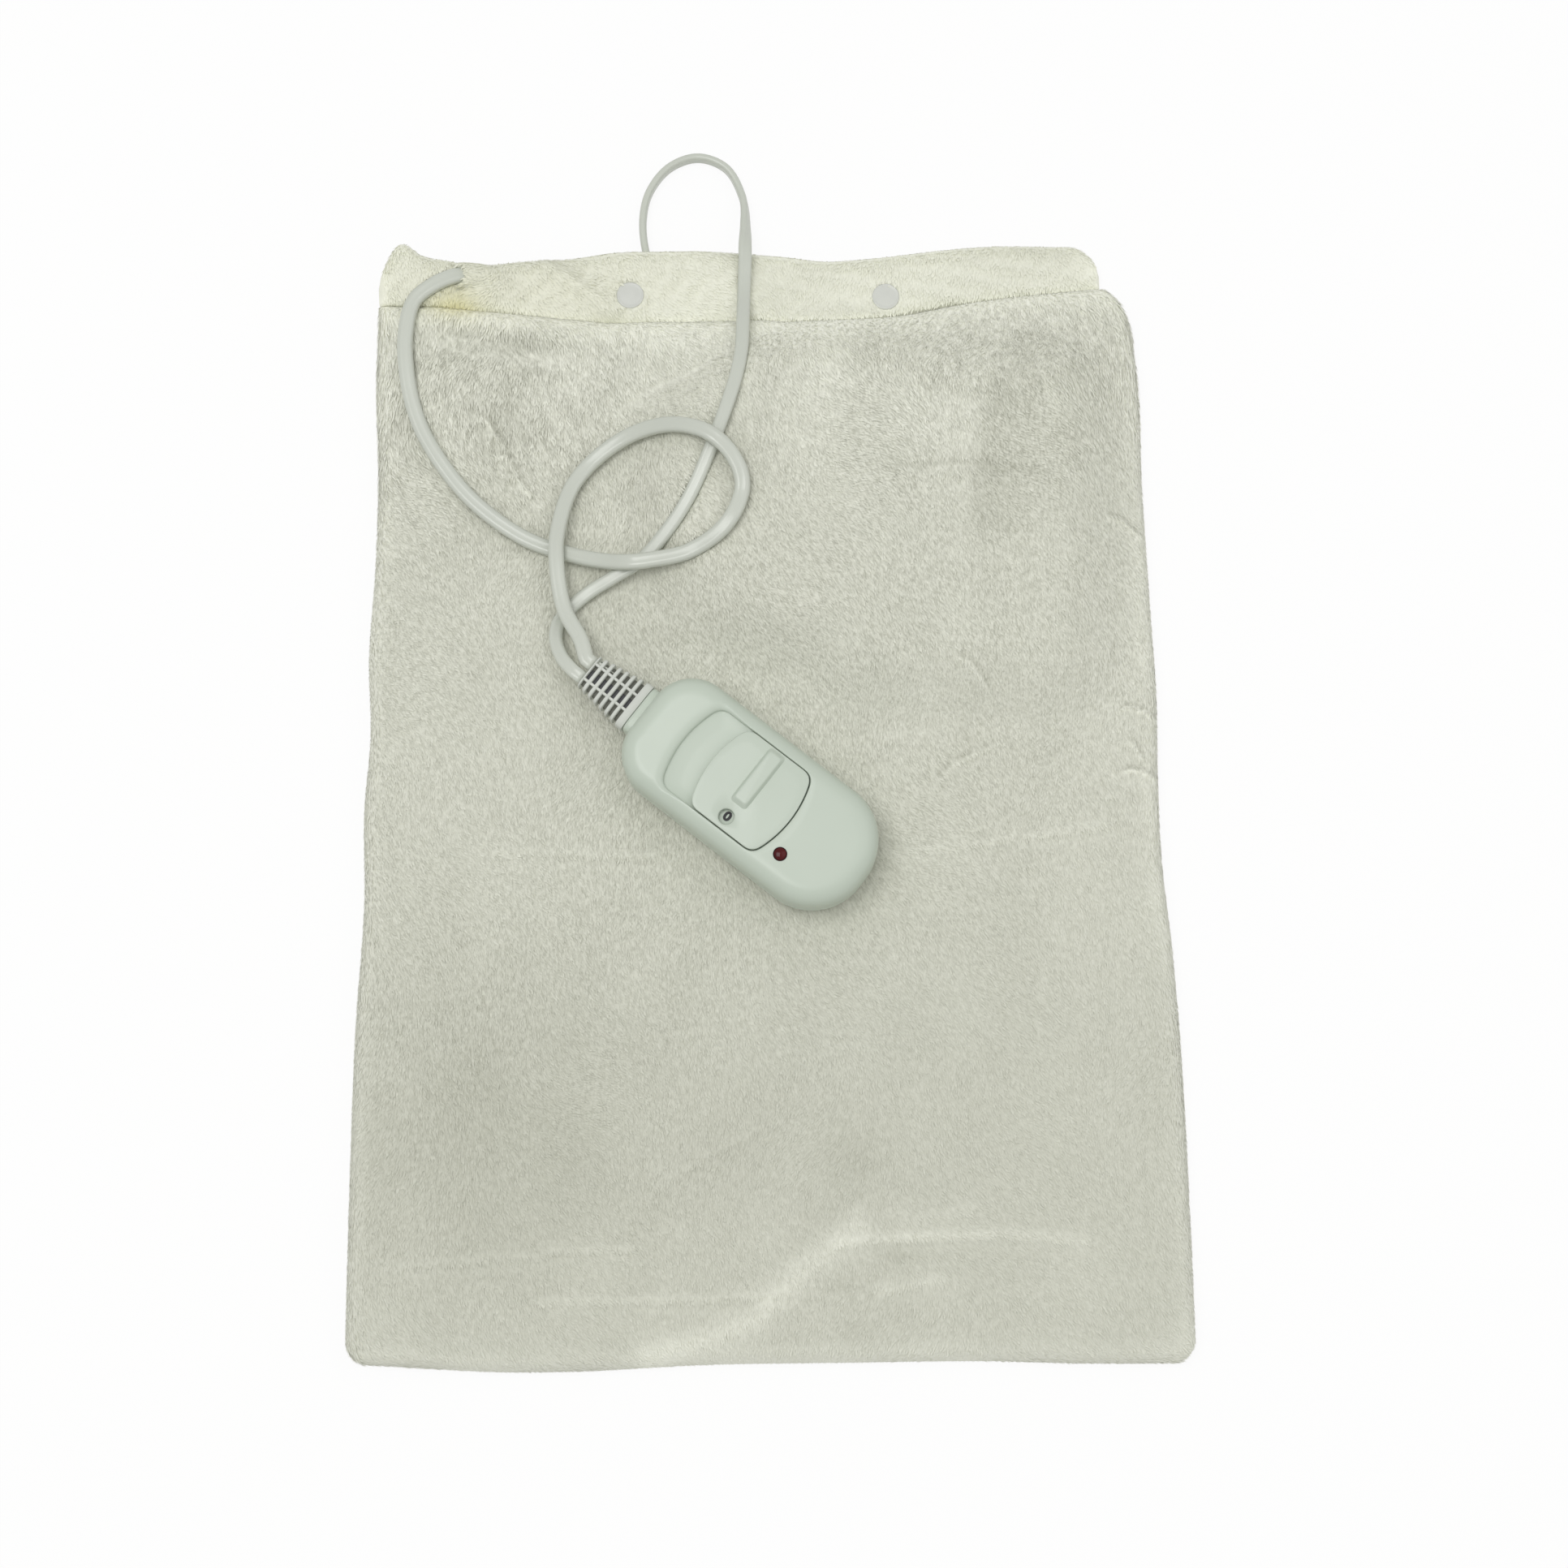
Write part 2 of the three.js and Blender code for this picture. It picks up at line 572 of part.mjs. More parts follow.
// Free cord through hand-laid points: a smooth run with a straight piece at each end
function laidCord(route, size, grow = 0, step = CORD_STEP) {
  const points = route.map(([x, y, z]) => new THREE.Vector3(x, y, z));
  const curve = new THREE.CatmullRomCurve3(points.slice(1, -1), false, 'centripetal');
  const steps = Math.round(curve.getLength() / step);
  const stations = [points[0], ...curve.getSpacedPoints(steps), points.at(-1)];
  const roll = route.map((point) => point[3] ?? 0);
  const rolls = stations.map((_, i) => {
    const share = THREE.MathUtils.clamp((i - 1) / steps, 0, 1);
    const along = 1 + curve.getUtoTmapping(share) * (route.length - 3);
    const before = min(Math.floor(along), route.length - 2);
    return THREE.MathUtils.lerp(roll[before], roll[before + 1], along - before);
  });
  return cord(stations, rolls, cordSection(size, EIGHT_SIDED, grow));
}

// Straight cord between two points
function straightCord(ends, size) {
  const stations = ends.map((end) => new THREE.Vector3(...end));
  return cord(stations, [0, 0], cordSection(size));
}

// Cover: two plush panels sewn round the pad, and the two layers of the mouth hem above it
const COVER_SIDE = GRID_COLUMNS + 2;
const backTop = (x, y) => underside(x, y) + BACK_PLUSH;
const frontTop = (x, y) => frontUnder(x, y) + FRONT_PLUSH;
const SNAP_Y = COVER_TOP - SNAP_DROP;
const SNAPS = { left: SNAP_OFFSET - SNAP_SPACING / 2, right: SNAP_OFFSET + SNAP_SPACING / 2 };

function makeCover() {
  const high = PLUSH_TOP + STORE_HEIGHT + TUNNEL_LIFT + PEAK_LIFT;
  const holes = Object.values(SNAPS).map((x) => bar(x, SNAP_Y, SNAP_CAP_RADIUS + FIT, -CUT, high));
  const throughHem = joined(holes);
  const slit = solid(laidCord(PAD_ROUTE.slice(0, SLIT_POINTS), PAD_CORD, SLIT_ROOM, SLIT_STEP));
  const backHem = solid(sheet(HEM_LINES, 0, COVER_SIDE, underside, backTop)).subtract(throughHem);
  const frontHem = solid(sheet(HEM_LINES, 0, COVER_SIDE, frontUnder, frontTop)).subtract(throughHem);
  piece(part, 'cover_back_panel', sheet(PANEL_LINES, 0, COVER_SIDE, underside, backTop), PLUSH);
  piece(part, 'cover_front_panel', sheet(PANEL_LINES, 0, COVER_SIDE, frontUnder, frontTop), PLUSH);
  piece(part, 'cover_back_hem', geometryOf(backHem), HEM_PLUSH);
  piece(part, 'cover_front_hem', geometryOf(frontHem.subtract(slit)), HEM_PLUSH);
}

// Snap fastener: back cap with its post, stud, socket and front cap, stacked through the hem
function makeSnap(side, x) {
  const group = new THREE.Group();
  group.position.set(x, SNAP_Y, underside(x, SNAP_Y));
  part.add(group);
  const backTopZ = FIT + SNAP_CAP_HEIGHT;
  const studTop = backTopZ + FIT + SNAP_PLATE_HEIGHT;
  const knobTop = studTop + SNAP_KNOB_HEIGHT;
  const socketTop = studTop + FIT + SNAP_PLATE_HEIGHT;
  const capTop = socketTop + FIT + SNAP_CAP_HEIGHT;
  const bore = SNAP_POST_RADIUS + FIT;
  const backCap = [[0, FIT], [SNAP_CAP_RADIUS, FIT], [SNAP_CAP_RADIUS, backTopZ], [SNAP_POST_RADIUS, backTopZ],
    [SNAP_POST_RADIUS, studTop], [0, studTop]];
  const stud = [[bore, backTopZ + FIT], [SNAP_PLATE_RADIUS, backTopZ + FIT], [SNAP_PLATE_RADIUS, studTop],
    [SNAP_KNOB_RADIUS, studTop], [SNAP_KNOB_RADIUS, knobTop], [bore, knobTop]];
  const socket = [[SNAP_KNOB_RADIUS + FIT, studTop + FIT], [SNAP_PLATE_RADIUS, studTop + FIT],
    [SNAP_PLATE_RADIUS, socketTop], [SNAP_KNOB_RADIUS + FIT, socketTop]];
  const frontCap = [[0, knobTop + FIT], [SNAP_KNOB_RADIUS, knobTop + FIT], [SNAP_KNOB_RADIUS, socketTop + FIT],
    [SNAP_CAP_RADIUS, socketTop + FIT], [SNAP_CAP_RADIUS, capTop],
    [SNAP_CAP_RADIUS * DOME.reach, capTop + SNAP_CAP_CROWN * DOME.rise], [0, capTop + SNAP_CAP_CROWN]];
  piece(group, `snap_cap_back_${side}`, turned(backCap), SNAP_PLASTIC);
  piece(group, `snap_stud_${side}`, turnedRing(stud), SNAP_PLASTIC);
  piece(group, `snap_socket_${side}`, turnedRing(socket), SNAP_PLASTIC);
  piece(group, `snap_cap_front_${side}`, turned(frontCap), SNAP_PLASTIC);
}

// Inner pad: liner, felt, heating wire, felt and liner, with a junction block in a notch of the felt
const WIRE_LEVEL = STACK / 2;

function makePad() {
  const lowLevels = [FIT, 2 * FIT + LINER];
  const layer = (name, low, height, material, open) => {
    const bottom = (x, y) => stackHeight(x, y, low);
    const top = (x, y) => stackHeight(x, y, low + height);
    piece(part, name, sheet(PAD_LINES, 1, GRID_COLUMNS + 1, bottom, top, open), material);
  };
  const notch = (row, column) => row === NOTCH_LINE && column === JUNCTION.cell;
  layer('pad_back_liner', lowLevels[0], LINER, LINER_CLOTH);
  layer('pad_back_felt', lowLevels[1], FELT, FELT_CLOTH, notch);
  layer('pad_front_felt', STACK - lowLevels[1] - FELT, FELT, FELT_CLOTH, notch);
  layer('pad_front_liner', STACK - lowLevels[0] - LINER, LINER, LINER_CLOTH);
}

// Heating wire: up and down the pad's column lines, then back along the top to the junction block
function wireStops() {
  const stops = [];
  for (let column = JUNCTION.cell; column >= 2; column -= 1) stops.push([column, NOTCH_LINE]);
  for (let column = 2; column <= GRID_COLUMNS; column += 1) {
    const rows = spread(1, GRID_ROWS - 2, GRID_ROWS - 3);
    if (column % 2 === 0) rows.reverse();
    stops.push(...rows.map((row) => [column, row]));
  }
  for (let column = GRID_COLUMNS; column > JUNCTION.cell; column -= 1) stops.push([column, NOTCH_LINE]);
  return stops.map(([column, row]) => {
    const y = PAD_LINES[row];
    const x = columnX(column, y);
    return { column, row, point: new THREE.Vector3(x, y, stackHeight(x, y, WIRE_LEVEL)) };
  });
}
function makeWire() {
  const stops = wireStops();
  const stations = [stops[0].point];
  for (let i = 1; i < stops.length - 1; i += 1) {
    const [before, here, after] = [stops[i - 1], stops[i], stops[i + 1]];
    const turns = (before.column === here.column) !== (here.column === after.column);
    if (turns) {
      for (const other of [before, after]) {
        const share = WIRE_CORNER / here.point.distanceTo(other.point);
        stations.push(here.point.clone().lerp(other.point, share));
      }
      continue;
    }
    const last = stations.at(-1);
    const [behind, ahead] = [last, after.point].map((point) => point.distanceTo(here.point));
    const straight = THREE.MathUtils.lerp(last.z, after.point.z, behind / (behind + ahead));
    if (abs(straight - here.point.z) > WIRE_BEND) stations.push(here.point);
  }
  stations.push(stops.at(-1).point);
  const section = cordSection({ width: WIRE_DIAMETER, thickness: WIRE_DIAMETER }, SIX_SIDED);
  piece(part, 'heating_wire', cord(stations, stations.map(() => 0), section), WIRE_SHEATH);
}

// Thermostats beside the wire, low in the pad where it lies flat
function makeThermostats() {
  const { length, width, height, row, column } = THERMOSTAT;
  const y = (PAD_LINES[row] + PAD_LINES[row + 1]) / 2;
  for (const [side, cell] of [['left', column], ['right', GRID_COLUMNS + 1 - column]]) {
    const x = (columnX(cell, y) + columnX(cell + 1, y)) / 2;
    const z = stackHeight(x, y, WIRE_LEVEL);
    const box = block(-width / 2, width / 2, -length / 2, length / 2, -height / 2, height / 2);
    piece(part, `pad_thermostat_${side}`, box.translate(x, y, z), DARK_PLASTIC);
  }
}

// Junction block, where the pad cord meets the heating wire
function makeJunction() {
  const { width, height, corner, edge } = JUNCTION;
  const [x0, x1] = [JUNCTION_X - width / 2, JUNCTION_X + width / 2];
  const outline = roundedBox(x0, x1, JUNCTION_FOOT, JUNCTION_HEAD, corner);
  piece(part, 'pad_junction_block', raised(outline, JUNCTION_Z, JUNCTION_Z + height, edge), DARK_PLASTIC);
}

// Outline of a rectangle with round corners
function roundedBox(x0, x1, y0, y1, radius) {
  const shape = new THREE.Shape();
  shape.absarc(x1 - radius, y0 + radius, radius, -PI / 2, 0);
  shape.absarc(x1 - radius, y1 - radius, radius, 0, PI / 2);
  shape.absarc(x0 + radius, y1 - radius, radius, PI / 2, PI);
  shape.absarc(x0 + radius, y0 + radius, radius, PI, 1.5 * PI);
  shape.closePath();
  return shape;
}

// Coil: spirals in on the low layer, climbs a layer at the middle and spirals out on the high one
function coilStations() {
  const steps = 2 * COIL_TURNS * COIL_STEPS;
  const stations = [];
  for (let i = 0; i <= steps; i += 1) {
    const turn = i / COIL_STEPS;
    const angle = PI / 2 - 2 * PI * turn;
    const radius = COIL_INNER + COIL_PITCH * abs(turn - COIL_TURNS);
    const z = COIL_LOW + COIL_RISE * ease((turn - COIL_TURNS) / COIL_CLIMB + 0.5);
    stations.push(new THREE.Vector3(COIL_X + radius * cos(angle), COIL_Y + radius * sin(angle), z));
  }
  const lead = new THREE.Vector3(MAINS_CORD.width, 0, 0);
  stations.unshift(stations[0].clone().sub(lead));
  stations.push(stations.at(-1).clone().add(lead));
  return stations;
}
// Least distance between surface points of the coil that lie more than half a turn apart
function leastGap(geometry, stations) {
  const points = geometry.attributes.position;
  const rings = stations.map(() => []);
  const probe = new THREE.Vector3();
  for (let i = 0; i < points.count; i += 1) {
    probe.fromBufferAttribute(points, i);
    let nearest = 0;
    stations.forEach((station, k) => {
      if (station.distanceToSquared(probe) < stations[nearest].distanceToSquared(probe)) nearest = k;
    });
    rings[nearest].push(probe.clone());
  }
  let least = Infinity;
  rings.forEach((ring, k) => {
    for (const other of rings.slice(k + COIL_STEPS / 2)) {
      for (const a of ring) for (const b of other) least = min(least, a.distanceTo(b));
    }
  });
  return least;
}
function makeCoil() {
  const stations = coilStations();
  const tube = cord(stations, stations.map(() => 1), cordSection(MAINS_CORD, SIX_SIDED));
  console.log(`least gap of the coil to itself: ${leastGap(tube, stations).toFixed(2)} mm`);
  piece(part, 'mains_cord_coil', tube, CORD_PVC);
  const inner = COIL_INNER - MAINS_CORD.thickness / 2 - 3 * FIT;
  const outer = COIL_OUTER - COIL_PITCH / 2 + MAINS_CORD.thickness / 2 + 3 * FIT;
  const band = roundedBox(inner - TIE_THICKNESS, outer + TIE_THICKNESS, FIT, TIE_TOP, TIE_THICKNESS);
  band.holes.push(roundedBox(inner, outer, FIT + TIE_THICKNESS, TIE_TOP - TIE_THICKNESS, TIE_THICKNESS / 2));
  const tie = new THREE.ExtrudeGeometry(band, { depth: TIE_WIDTH, bevelEnabled: false, curveSegments: 3 });
  tie.translate(0, 0, -TIE_WIDTH / 2).rotateX(PI / 2).rotateZ(-PI / 2).translate(COIL_X, COIL_Y, 0);
  piece(part, 'coil_tie', tie, TIE_BLACK);
}

// Tail: a quarter ellipse from the coil round to the plug, rolling from on edge to flat
function makeTail() {
  const lead = MAINS_CORD.width;
  const begin = new THREE.Vector3(COIL_X + lead + FIT, COIL_Y + COIL_OUTER, COIL_HIGH);
  const end = new THREE.Vector3(PLUG_X, COIL_Y, FIT + PLUG_THICKNESS / 2);
  const shares = spread(0, 1, TAIL_STEPS);
  const bend = shares.map((share) => new THREE.Vector3(
    THREE.MathUtils.lerp(begin.x + lead, end.x, sin(share * PI / 2)),
    THREE.MathUtils.lerp(end.y + lead, begin.y, cos(share * PI / 2)),
    THREE.MathUtils.lerp(begin.z, end.z, ease(share)),
  ));
  const rolls = [1, ...shares.map((share) => 1 - ease(share)), 0];
  const tube = cord([begin, ...bend, end], rolls, cordSection(MAINS_CORD));
  piece(part, 'mains_cord_tail', tube, CORD_PVC);
}

// Flat two-pin plug, lying beside the coil with its pins towards -Y
function makePlug() {
  const group = new THREE.Group();
  group.position.set(PLUG_X, COIL_Y - FIT, FIT);
  part.add(group);
  const outline = new THREE.Shape();
  outline.moveTo(PLUG_NOSE_WIDTH / 2, 0);
  outline.lineTo(-PLUG_NOSE_WIDTH / 2, 0);
  outline.lineTo(-PLUG_WIDTH / 2, -PLUG_NOSE_LENGTH);
  outline.lineTo(-PLUG_WIDTH / 2, -PLUG_LENGTH);
  outline.lineTo(PLUG_WIDTH / 2, -PLUG_LENGTH);
  outline.lineTo(PLUG_WIDTH / 2, -PLUG_NOSE_LENGTH);
  outline.closePath();
  const mid = PLUG_THICKNESS / 2;
  let body = solid(raised(outline, 0, PLUG_THICKNESS, PLUG_EDGE, 2));
  for (const [side, turn] of [['left', -1], ['right', 1]]) {
    const x = turn * PIN_SPACING / 2;
    const radius = PIN_DIAMETER / 2;
    const length = PIN_LENGTH + PIN_SEAT - FIT;
    const seat = new THREE.CylinderGeometry(radius + FIT, radius + FIT, 2 * PIN_SEAT, 16);
    body = body.subtract(solid(seat.translate(x, -PLUG_LENGTH, mid)));
    const round = length - radius;
    const profile = [[0, 0], [radius, 0], [radius, round], [radius * MID_ARC, round + radius * MID_ARC],
      [0, length]];
    const pin = turned(profile, 12).rotateX(PI / 2).translate(x, -PLUG_LENGTH + PIN_SEAT - FIT, mid);
    piece(group, `plug_pin_${side}`, pin, NICKEL);
  }
  piece(group, 'plug_body', geometryOf(body), PLUG_PVC);
}

// Controller levels
const PARTING_TOP = CASE_PARTING + FIT;
const CHANNEL_Z = CASE_HEIGHT - CHANNEL_DEPTH;
const CHANNEL_UNDER = CHANNEL_Z - CHANNEL_FLOOR;
const SLIDER_FAR = SLIDER_X - SLIDER_LENGTH / 2;
const SLIDER_NEAR = SLIDER_X + SLIDER_LENGTH / 2;
const BOARD_TOP = BOARD.level + BOARD.height;
const CARRIAGE_TOP = CHANNEL_UNDER - FIT;
const CARRIAGE_UNDER = CARRIAGE_TOP - CARRIAGE.height;
const BASE_Z = BOARD_TOP + FIT;
const BASE_TOP = BASE_Z + SWITCH_BASE.height;
const CONTACT_TOP = BASE_TOP + FIT + CONTACT.height;
const STEP_PITCH = SLIDER_TRAVEL / SLIDER_STEPS;
const MID_WALL = CASE_WALL / 2;
const DETENT_Y = CARRIAGE.width / 2 + FIT + DETENT_RISE + DETENT_THICKNESS;

// Screws, and the clamp midway between the terminals and the plate that keeps the boot
const CASE_SCREWS = bothSides(CASE_SCREW_X, CASE_SCREW_Y);
const KEEPER_END = CASE_NEAR - CASE_WALL - FIT;
const TERMINAL_END = TERMINAL.x + TERMINAL.length / 2;
const CLAMP_X = (TERMINAL_END + KEEPER_END - BOOT_KEEPER.length) / 2;
const CLAMP_FROM = CLAMP_X - CLAMP.length / 2;
const CLAMP_TO = CLAMP_X + CLAMP.length / 2;
const CLAMP_Z = CORD_Z + PAD_CORD.thickness / 2 + FIT;
const SADDLE_TOP = CORD_Z - PAD_CORD.thickness / 2 - FIT;
const CLAMP_SCREWS = bothSides([CLAMP_X], CLAMP_SCREW_Y);
const CLAMP_SCREW_END = CASE_WALL + SCREW_TIP_ROOM;

// Case outline, drawn in by an inset
function caseOutline(inset) {
  const shape = new THREE.Shape();
  const half = CASE_WIDTH / 2 - inset;
  const near = CASE_NEAR_CORNER - inset;
  const far = CASE_FAR_CORNER - inset;
  const x0 = CASE_FAR + inset;
  const x1 = CASE_NEAR - inset;
  shape.absarc(x1 - near, -half + near, near, -PI / 2, 0);
  shape.absarc(x1 - near, half - near, near, 0, PI / 2);
  shape.absarc(x0 + far, half - far, far, PI / 2, PI);
  shape.absarc(x0 + far, -half + far, far, PI, 1.5 * PI);
  shape.closePath();
  return shape;
}
// Barrel outline of the slider and its channel: straight sides, round corners and bulging ends
function barrel(x0, x1, half) {
  const shape = new THREE.Shape();
  const [side0, side1] = [x0 + SLIDER_BULGE, x1 - SLIDER_BULGE];
  const [shoulder0, shoulder1] = [side0 - SLIDER_SHOULDER, side1 + SLIDER_SHOULDER];
  const end = half - SLIDER_CORNER;
  shape.moveTo(side0 + SLIDER_CORNER, -half);
  shape.lineTo(side1 - SLIDER_CORNER, -half);
  shape.quadraticCurveTo(side1, -half, shoulder1, -end);
  shape.quadraticCurveTo(2 * x1 - shoulder1, 0, shoulder1, end);
  shape.quadraticCurveTo(side1, half, side1 - SLIDER_CORNER, half);
  shape.lineTo(side0 + SLIDER_CORNER, half);
  shape.quadraticCurveTo(side0, half, shoulder0, end);
  shape.quadraticCurveTo(2 * x0 - shoulder0, 0, shoulder0, -end);
  shape.quadraticCurveTo(side0, -half, side0 + SLIDER_CORNER, -half);
  return shape;
}
function channelOutline(grow) {
  const room = FIT + grow;
  return barrel(SLIDER_FAR - room, SLIDER_NEAR + SLIDER_TRAVEL + room, SLIDER_WIDTH / 2 + room);
}

// Case: a rounded hollow body split at the parting plane, with the channel, bosses and cord opening
function makeCase() {
  const far = 2 * CASE_LENGTH;
  const rounded = (inset, steps) => solid(
    raised(caseOutline(inset), inset, CASE_HEIGHT - inset, CASE_EDGE - inset, steps, 4),
  );
  const neckZ = CORD_Z - NECK_HEIGHT / 2;
  const neckRoot = CASE_NEAR - CASE_NEAR_CORNER;
  const neckOutline = roundedBox(neckRoot, NECK_END, -NECK_WIDTH / 2, NECK_WIDTH / 2, NECK_CORNER);
  const neck = solid(raised(neckOutline, neckZ, neckZ + NECK_HEIGHT, NECK_EDGE));
  const openingRoot = CASE_NEAR - 2 * CASE_WALL - BOOT_KEEPER.length;
  const openingRise = BOOT_SHANK.height / 2 + FIT;
  const openingWidth = BOOT_SHANK.width + 2 * FIT;
  const opening = solid(bridge(openingRoot, far, openingWidth, CORD_Z - openingRise, CORD_Z + openingRise));
  const walls = rounded(0, 4).add(neck).subtract(rounded(CASE_WALL, 2));
  const withinWalls = rounded(MID_WALL, 4);
  const above = solid(block(-far, far, -far, far, PARTING_TOP, far));
  const below = solid(block(-far, far, -far, far, -far, CASE_PARTING));
  const pilots = bars(CASE_SCREWS, SCREW_RADIUS + FIT, -CUT, CASE_SCREW_TOP + FIT);

  const pocket = solid(raised(channelOutline(CASE_WALL), CHANNEL_UNDER, CASE_HEIGHT - MID_WALL, 0, 1, 5));
  const channel = solid(raised(channelOutline(0), CHANNEL_Z, CASE_HEIGHT + CUT, 0, 1, 5));
  const slotEnd = STEM.length / 2 + FIT;
  const slotWidth = STEM.width + 2 * FIT;
  const slotTop = CHANNEL_Z + CUT;
  const slot = solid(bridge(-slotEnd, slotEnd + SLIDER_TRAVEL, slotWidth, CHANNEL_UNDER - CUT, slotTop));
  const lensHole = solid(bar(LENS_X, LENS_Y, LENS_RADIUS + FIT, CASE_PARTING, CASE_HEIGHT + CUT));
  const pillars = bars(CASE_SCREWS, CASE_BOSS_RADIUS, PARTING_TOP, CASE_HEIGHT - MID_WALL);
  const postY = DETENT_Y + FIT;
  const posts = joined([-DETENT_ARM, DETENT_ARM].map((x) => {
    const [x0, x1] = [x - POST.length / 2, x + POST.length / 2];
    return block(x0, x1, postY, postY + POST.width, CHANNEL_UNDER - POST.height, CHANNEL_Z);
  }));
  const topFittings = pocket.add(pillars).add(posts).intersect(withinWalls);
  const topCut = channel.add(slot).add(lensHole).add(pilots).add(opening);
  const top = walls.add(topFittings).intersect(above).subtract(topCut);
  piece(controller, 'controller_top_shell', geometryOf(top), CASE_PLASTIC);

  const bosses = bars(CASE_SCREWS, CASE_BOSS_RADIUS, MID_WALL, CASE_PARTING);
  const sinks = bars(CASE_SCREWS, SCREW_HEAD_RADIUS + FIT, -CUT, CASE_SCREW_SINK);
  const boardEnds = [BOARD.from + BOARD_BOSS_INSET, BOARD.to - BOARD_BOSS_INSET];
  const boardCorners = bothSides(boardEnds, BOARD.width / 2 - BOARD_BOSS_INSET);
  const boardBosses = bars(boardCorners, BOARD_BOSS_RADIUS, MID_WALL, BOARD.level - FIT);
  const saddle = solid(bridge(CLAMP_FROM, CLAMP_TO, CLAMP.width, MID_WALL, SADDLE_TOP));
  const clampPilots = bars(CLAMP_SCREWS, SCREW_RADIUS + FIT, CLAMP_SCREW_END - FIT, CASE_HEIGHT);
  const bottomFittings = bosses.add(boardBosses).add(saddle).intersect(withinWalls);
  const bottomCut = pilots.add(sinks).add(clampPilots).add(opening);
  const bottom = walls.add(bottomFittings).intersect(below).subtract(bottomCut);
  piece(controller, 'controller_bottom_shell', geometryOf(bottom), CASE_PLASTIC);
}

// Slider: button with finger rib and window, carriage under the channel, and the wiper that it carries
function makeSlider() {
  const under = CHANNEL_Z + FIT;
  const top = under + SLIDER_PLATE;
  const plate = raised(barrel(SLIDER_FAR, SLIDER_NEAR, SLIDER_WIDTH / 2), under, top, SLIDER_EDGE, 1, 5);
  const ribOutline = roundedBox(-RIB_WIDTH / 2, RIB_WIDTH / 2, RIB_FROM, RIB_TO, RIB_WIDTH / 3);
  const rib = raised(ribOutline, under + SLIDER_EDGE, top + RIB_HEIGHT, RIB_EDGE, 2);
  const stemFoot = CARRIAGE_UNDER + FIT;
  const stem = bridge(-STEM.length / 2, STEM.length / 2, STEM.width, stemFoot, under + SLIDER_EDGE);
  const window = solid(bar(WINDOW_X, WINDOW_Y, WINDOW_RADIUS, under - CUT, top + CUT, 20));
  piece(controller, 'slider_button', geometryOf(joined([plate, rib, stem]).subtract(window)), CASE_PLASTIC);

  const outline = new THREE.Shape();
  const side = CARRIAGE.width / 2;
  outline.moveTo(CARRIAGE.from, -side);
  outline.lineTo(CARRIAGE.to, -side);
  outline.lineTo(CARRIAGE.to, side);
  for (let step = 0; step <= SLIDER_STEPS; step += 1) {
    const x = -step * STEP_PITCH;
    outline.lineTo(x + NOTCH_WIDTH / 2, side);
    outline.lineTo(x, side - NOTCH_DEPTH);
    outline.lineTo(x - NOTCH_WIDTH / 2, side);
  }
  outline.lineTo(CARRIAGE.from, side);
  outline.closePath();
  const socketEnd = STEM.length / 2 + FIT;
  const socketWidth = STEM.width + 2 * FIT;
  const socket = solid(bridge(-socketEnd, socketEnd, socketWidth, CARRIAGE_UNDER - CUT, CARRIAGE_TOP + CUT));
  const carriage = solid(raised(outline, CARRIAGE_UNDER, CARRIAGE_TOP, 0)).subtract(socket);
  piece(controller, 'slider_carriage', geometryOf(carriage), DARK_PLASTIC);

  const high = CARRIAGE_UNDER - FIT;
  const low = CONTACT_TOP + FIT;
  const strip = stripOutline([[-WIPER_TAIL, high - WIPER_STRIP / 2], [0, high - WIPER_STRIP / 2],
    [WIPER_TIP, low + WIPER_STRIP / 2], [WIPER_TIP + WIPER_TOE, low + WIPER_STRIP * 2]], WIPER_STRIP);
  const wiper = new THREE.ExtrudeGeometry(strip, { depth: WIPER_WIDTH, bevelEnabled: false });
  piece(controller, 'slider_wiper', wiper.rotateX(PI / 2).translate(0, WIPER_WIDTH / 2, 0), BRASS);
}

// Outline of a thin bent strip: a line of points thickened square to its run
function stripOutline(points, thickness) {
  const line = points.map(([x, y]) => new THREE.Vector2(x, y));
  const offset = line.map((_, i) => {
    const run = line[min(i + 1, line.length - 1)].clone().sub(line[max(i - 1, 0)]).normalize();
    return new THREE.Vector2(-run.y, run.x).multiplyScalar(thickness / 2);
  });
  const left = line.map((point, i) => point.clone().add(offset[i]));
  const right = line.map((point, i) => point.clone().sub(offset[i]));
  return new THREE.Shape([...right, ...left.reverse()]);
}

// Detent spring: a leaf held by two posts, whose crest faces the carriage's notches
function makeDetent() {
  const back = DETENT_Y - DETENT_THICKNESS / 2;
  const end = DETENT_ARM + POST.length / 2;
  const line = [[-end, back], [-NOTCH_WIDTH, back], [0, back - DETENT_RISE], [NOTCH_WIDTH, back], [end, back]];
  const leaf = stripOutline(line, DETENT_THICKNESS);
  const spring = new THREE.ExtrudeGeometry(leaf, { depth: DETENT_HEIGHT, bevelEnabled: false });
  piece(controller, 'detent_spring', spring.translate(0, 0, CARRIAGE_TOP - DETENT_HEIGHT), SPRING_STEEL);
}

